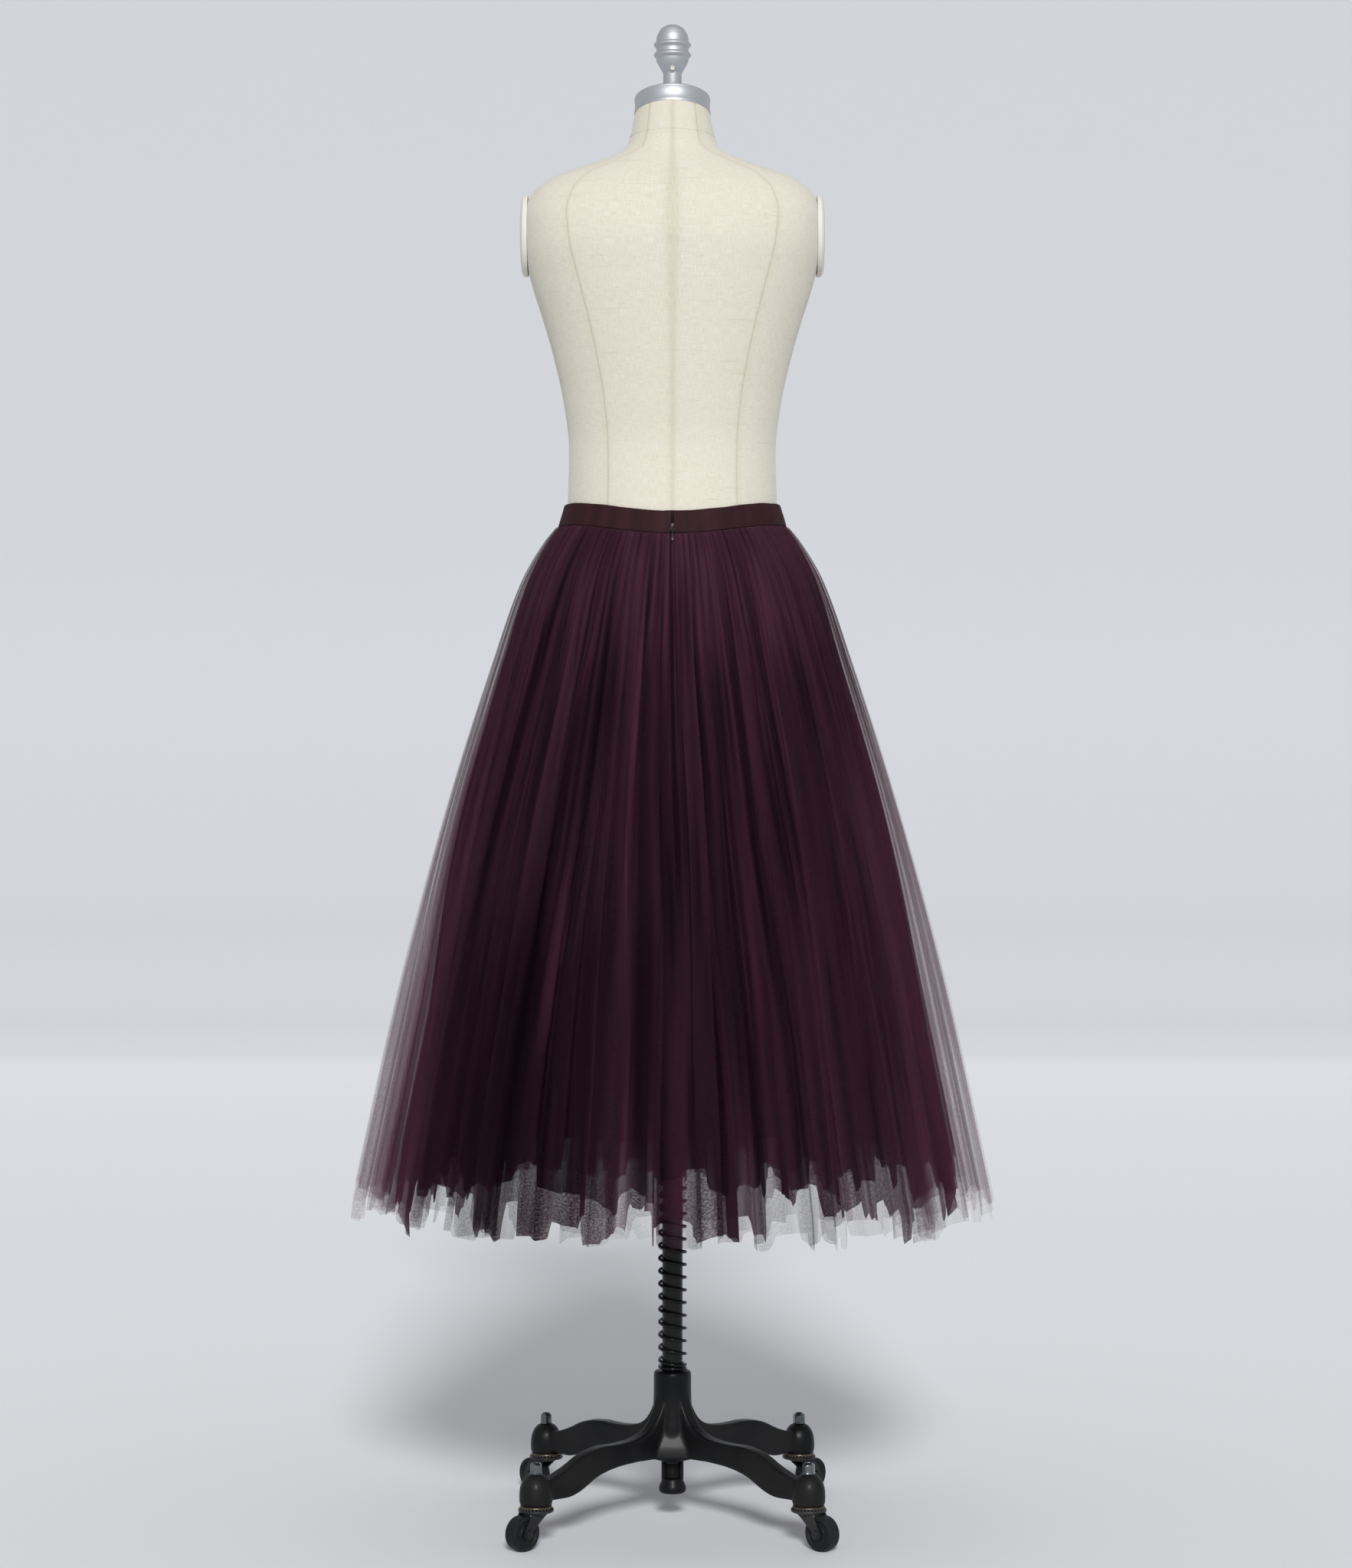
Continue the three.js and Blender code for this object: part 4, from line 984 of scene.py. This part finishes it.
def buildBase():
    hub = turned("hub", hubSection, 64, hollow=True, bevelWidth=0)
    arm = cutOut("arm", armOutline, base["armWide"], 3.4, 3)
    boss = turned("boss", bossSection, 48, bevelWidth=0)
    web = turned("web", webSection, 4, bevelWidth=0)
    parts = [hub, placed(web, turnedBy(45, "Z"), "webCopy")]
    scrap(web)
    for degrees in (45, 135, 225, 315):
        parts.append(placed(arm, turnedBy(degrees, "Z"), "armCopy"))
        parts.append(placed(boss, turnedBy(degrees, "Z") @ moved(x=base["reach"]), "bossCopy"))
    scrap(arm, boss)
    made = joined(parts, "baseCasting")
    remesh = made.modifiers.new("cast", "REMESH")
    remesh.mode = "VOXEL"
    remesh.voxel_size = base["grain"] * mm
    soften = made.modifiers.new("soften", "SMOOTH")
    soften.factor = 0.5
    soften.iterations = 7
    applyModifiers(made)
    made.data.shade_smooth()
    return made


dress(buildBase(), enamel, "stand", ["base_casting"])
print("base ready")

# Casters: stem with its ball race and nut, swivelling fork and wheel
caster = {"x": 148, "trail": 20, "radius": 19, "half": 8, "beads": 26, "bead": 1.5, "beadRing": 16.4}
corners = {1: 225, 2: 315, 3: 45, 4: 135}


def buildStem():
    section = [(3, 36.4), (6.2, 36.6), (6.2, 38.4), (4, 38.8), (4, 44), (16.2, 44), (17.2, 44.5)]
    section += [(17.5, 45.4), (17.2, 46.3), (16.2, 46.8), (4, 46.8), (4, 82), (3, 82)]
    shaft = turned("stem", section, 48, bevelWidth=0.2)
    bpy.ops.mesh.primitive_ico_sphere_add(subdivisions=1, radius=caster["bead"] * mm, location=(0, 0, 0))
    bead = bpy.context.object
    bead.data.shade_smooth()
    onRing = moved(caster["beadRing"], 0, 43.9)
    places = [turnedBy(360 * i / caster["beads"], "Z") @ onRing for i in range(caster["beads"])]
    beads = [placed(bead, place, "beadCopy") for place in places]
    scrap(bead)
    section = [(7.6, 80.6), (7.6, 81.8), (7.0, 82), (7.0, 90.2), (5.6, 91.6), (4.6, 92.6), (4.2, 91.4),
               (2, 91.4)]
    nut = turned("nut", section, 6, bevelWidth=0.35)
    return shaft, beads, nut


def buildFork():
    section = [(4.4, 39.6), (18.2, 39.6), (19.2, 40.2), (19.5, 41.4), (19.4, 42.6), (18.6, 43.4), (4.4, 43.4)]
    disc = turned("disc", section + section[:1], 48, hollow=True, bevelWidth=0.15)
    trail, axis = caster["trail"], caster["radius"]
    swept = np.linspace(0.88 * math.pi, 2.04 * math.pi, 14)
    eye = [(trail + 6.2 * math.cos(a), axis + 6.2 * math.sin(a)) for a in swept]
    outline = [(-10, 43), (-10, 39.6)] + bowed((-10, 39.6), (2, 32), (13.5, 21))
    outline += eye + [(15, 39.6), (13, 43)]
    cheek = cutOut("cheek", outline, 2.0, 0.45)
    end = [(3, 11.2), (4.6, 11.4), (4.6, 12.4), (4.4, 13), (2, 13)]
    axle = turned("axle", [(r, -h) for r, h in end[::-1]] + end, 24, bevelWidth=0.2)
    crest = cutOut("crest", [(-10.5, 41.5), (-10.5, 39), (12, 39), (12, 41.5)], 2 * caster["half"] + 6, 0.6)
    parts = [disc, crest, placed(axle, moved(trail, 0, axis) @ turnedBy(90, "X"), "axleCopy")]
    parts += [placed(cheek, moved(y=side * (caster["half"] + 2)), "cheekCopy") for side in (-1, 1)]
    scrap(axle, cheek)
    return joined(parts, "fork")


def buildWheel():
    half = [(7.2, 7.4), (8.2, 7.4), (8.8, 6.6), (13.2, 6.4), (14.2, 7.6), (15, 8), (17.2, 8), (18.3, 7.4)]
    half += [(18.85, 6.2), (19, 4.4)]
    section = [(3.4, 7.0), (3.4, -7.0)] + [(r, -h) for r, h in half] + half[::-1] + [(3.4, 7.0)]
    wheel = turned("wheel", section, 64, hollow=True, bevelWidth=0)
    wheel.data.transform(moved(caster["trail"], 0, caster["radius"]) @ turnedBy(90, "X"))
    return wheel


shaft, beads, nut = buildStem()
race = joined([shaft, *beads], "race")
fork = buildFork()
wheel = buildWheel()
for number, degrees in corners.items():
    spot = turnedBy(degrees, "Z") @ moved(x=caster["x"] * math.sqrt(2))
    dress(placed(race, spot, f"casterRace{number}"), raceBrass, "stand", [f"caster_stem_{number}"])
    dress(placed(nut, spot @ turnedBy(11 * number, "Z"), f"casterNut{number}"), nutChrome, "stand",
          [f"caster_stem_{number}"])
    dress(placed(fork, spot, f"casterFork{number}"), forkSteel, f"fork_{number}", [f"fork_{number}"])
    dress(placed(wheel, spot, f"casterWheel{number}"), rubber, f"wheel_{number}", [f"wheel_{number}"])
scrap(race, nut, fork, wheel)
print("casters ready")

# Zip: tapes and teeth in the band's opening, the slider and its pull
zipFastener = {"top": 1128, "bottom": 1111, "pitch": 1.5, "gap": 0.55}


def buildZip():
    parts = []
    for side in (-1, 1):
        count = int((zipFastener["top"] - zipFastener["bottom"]) / zipFastener["pitch"])
        for i in range(count):
            z = zipFastener["bottom"] + (i + (0.5 if side > 0 else 0)) * zipFastener["pitch"]
            y = float(formPoints(np.array([-math.pi / 2]), np.array([z]), 2.2)[0, 1])
            tooth = turned("tooth", [(0.2, -0.75), (0.42, -0.6), (0.42, 0.6), (0.2, 0.75)], 8, bevelWidth=0)
            tooth.data.transform(moved(side * zipFastener["gap"], y, z) @ turnedBy(90, "Y"))
            parts.append(tooth)
    return joined(parts, "zipTeeth")


def buildTape():
    z = np.linspace(1130.5, 1092, 14)
    x = np.linspace(-6.5, 6.5, 9)
    grid, heights = np.meshgrid(x, z)
    angle = -math.pi / 2 + grid / form["backRadius"]
    points = formPoints(angle, heights, 0.65 + 0.25 * np.exp(-((grid / 0.7) ** 2)))
    flat = np.stack([grid, heights], axis=-1) * mm
    return gridPiece("zipTape", points, flat, False)


zipTeeth = buildZip()
dress(zipTeeth, zipEnamel, "form", ())
zipTape = buildTape()
dress(zipTape, satinMaterial("tapeCloth", rgb(34, 17, 24), rgb(22, 10, 15), 0.7, 1400.0), "form", ())
dress(carried("zip_slider", "zipSlider", 0.25), zipEnamel, "form", ["zip_slider"])
dress(carried("zip_pull", "zipPull", 0.25), zipEnamel, "zip_pull", ["zip_pull"])
print("zip ready")
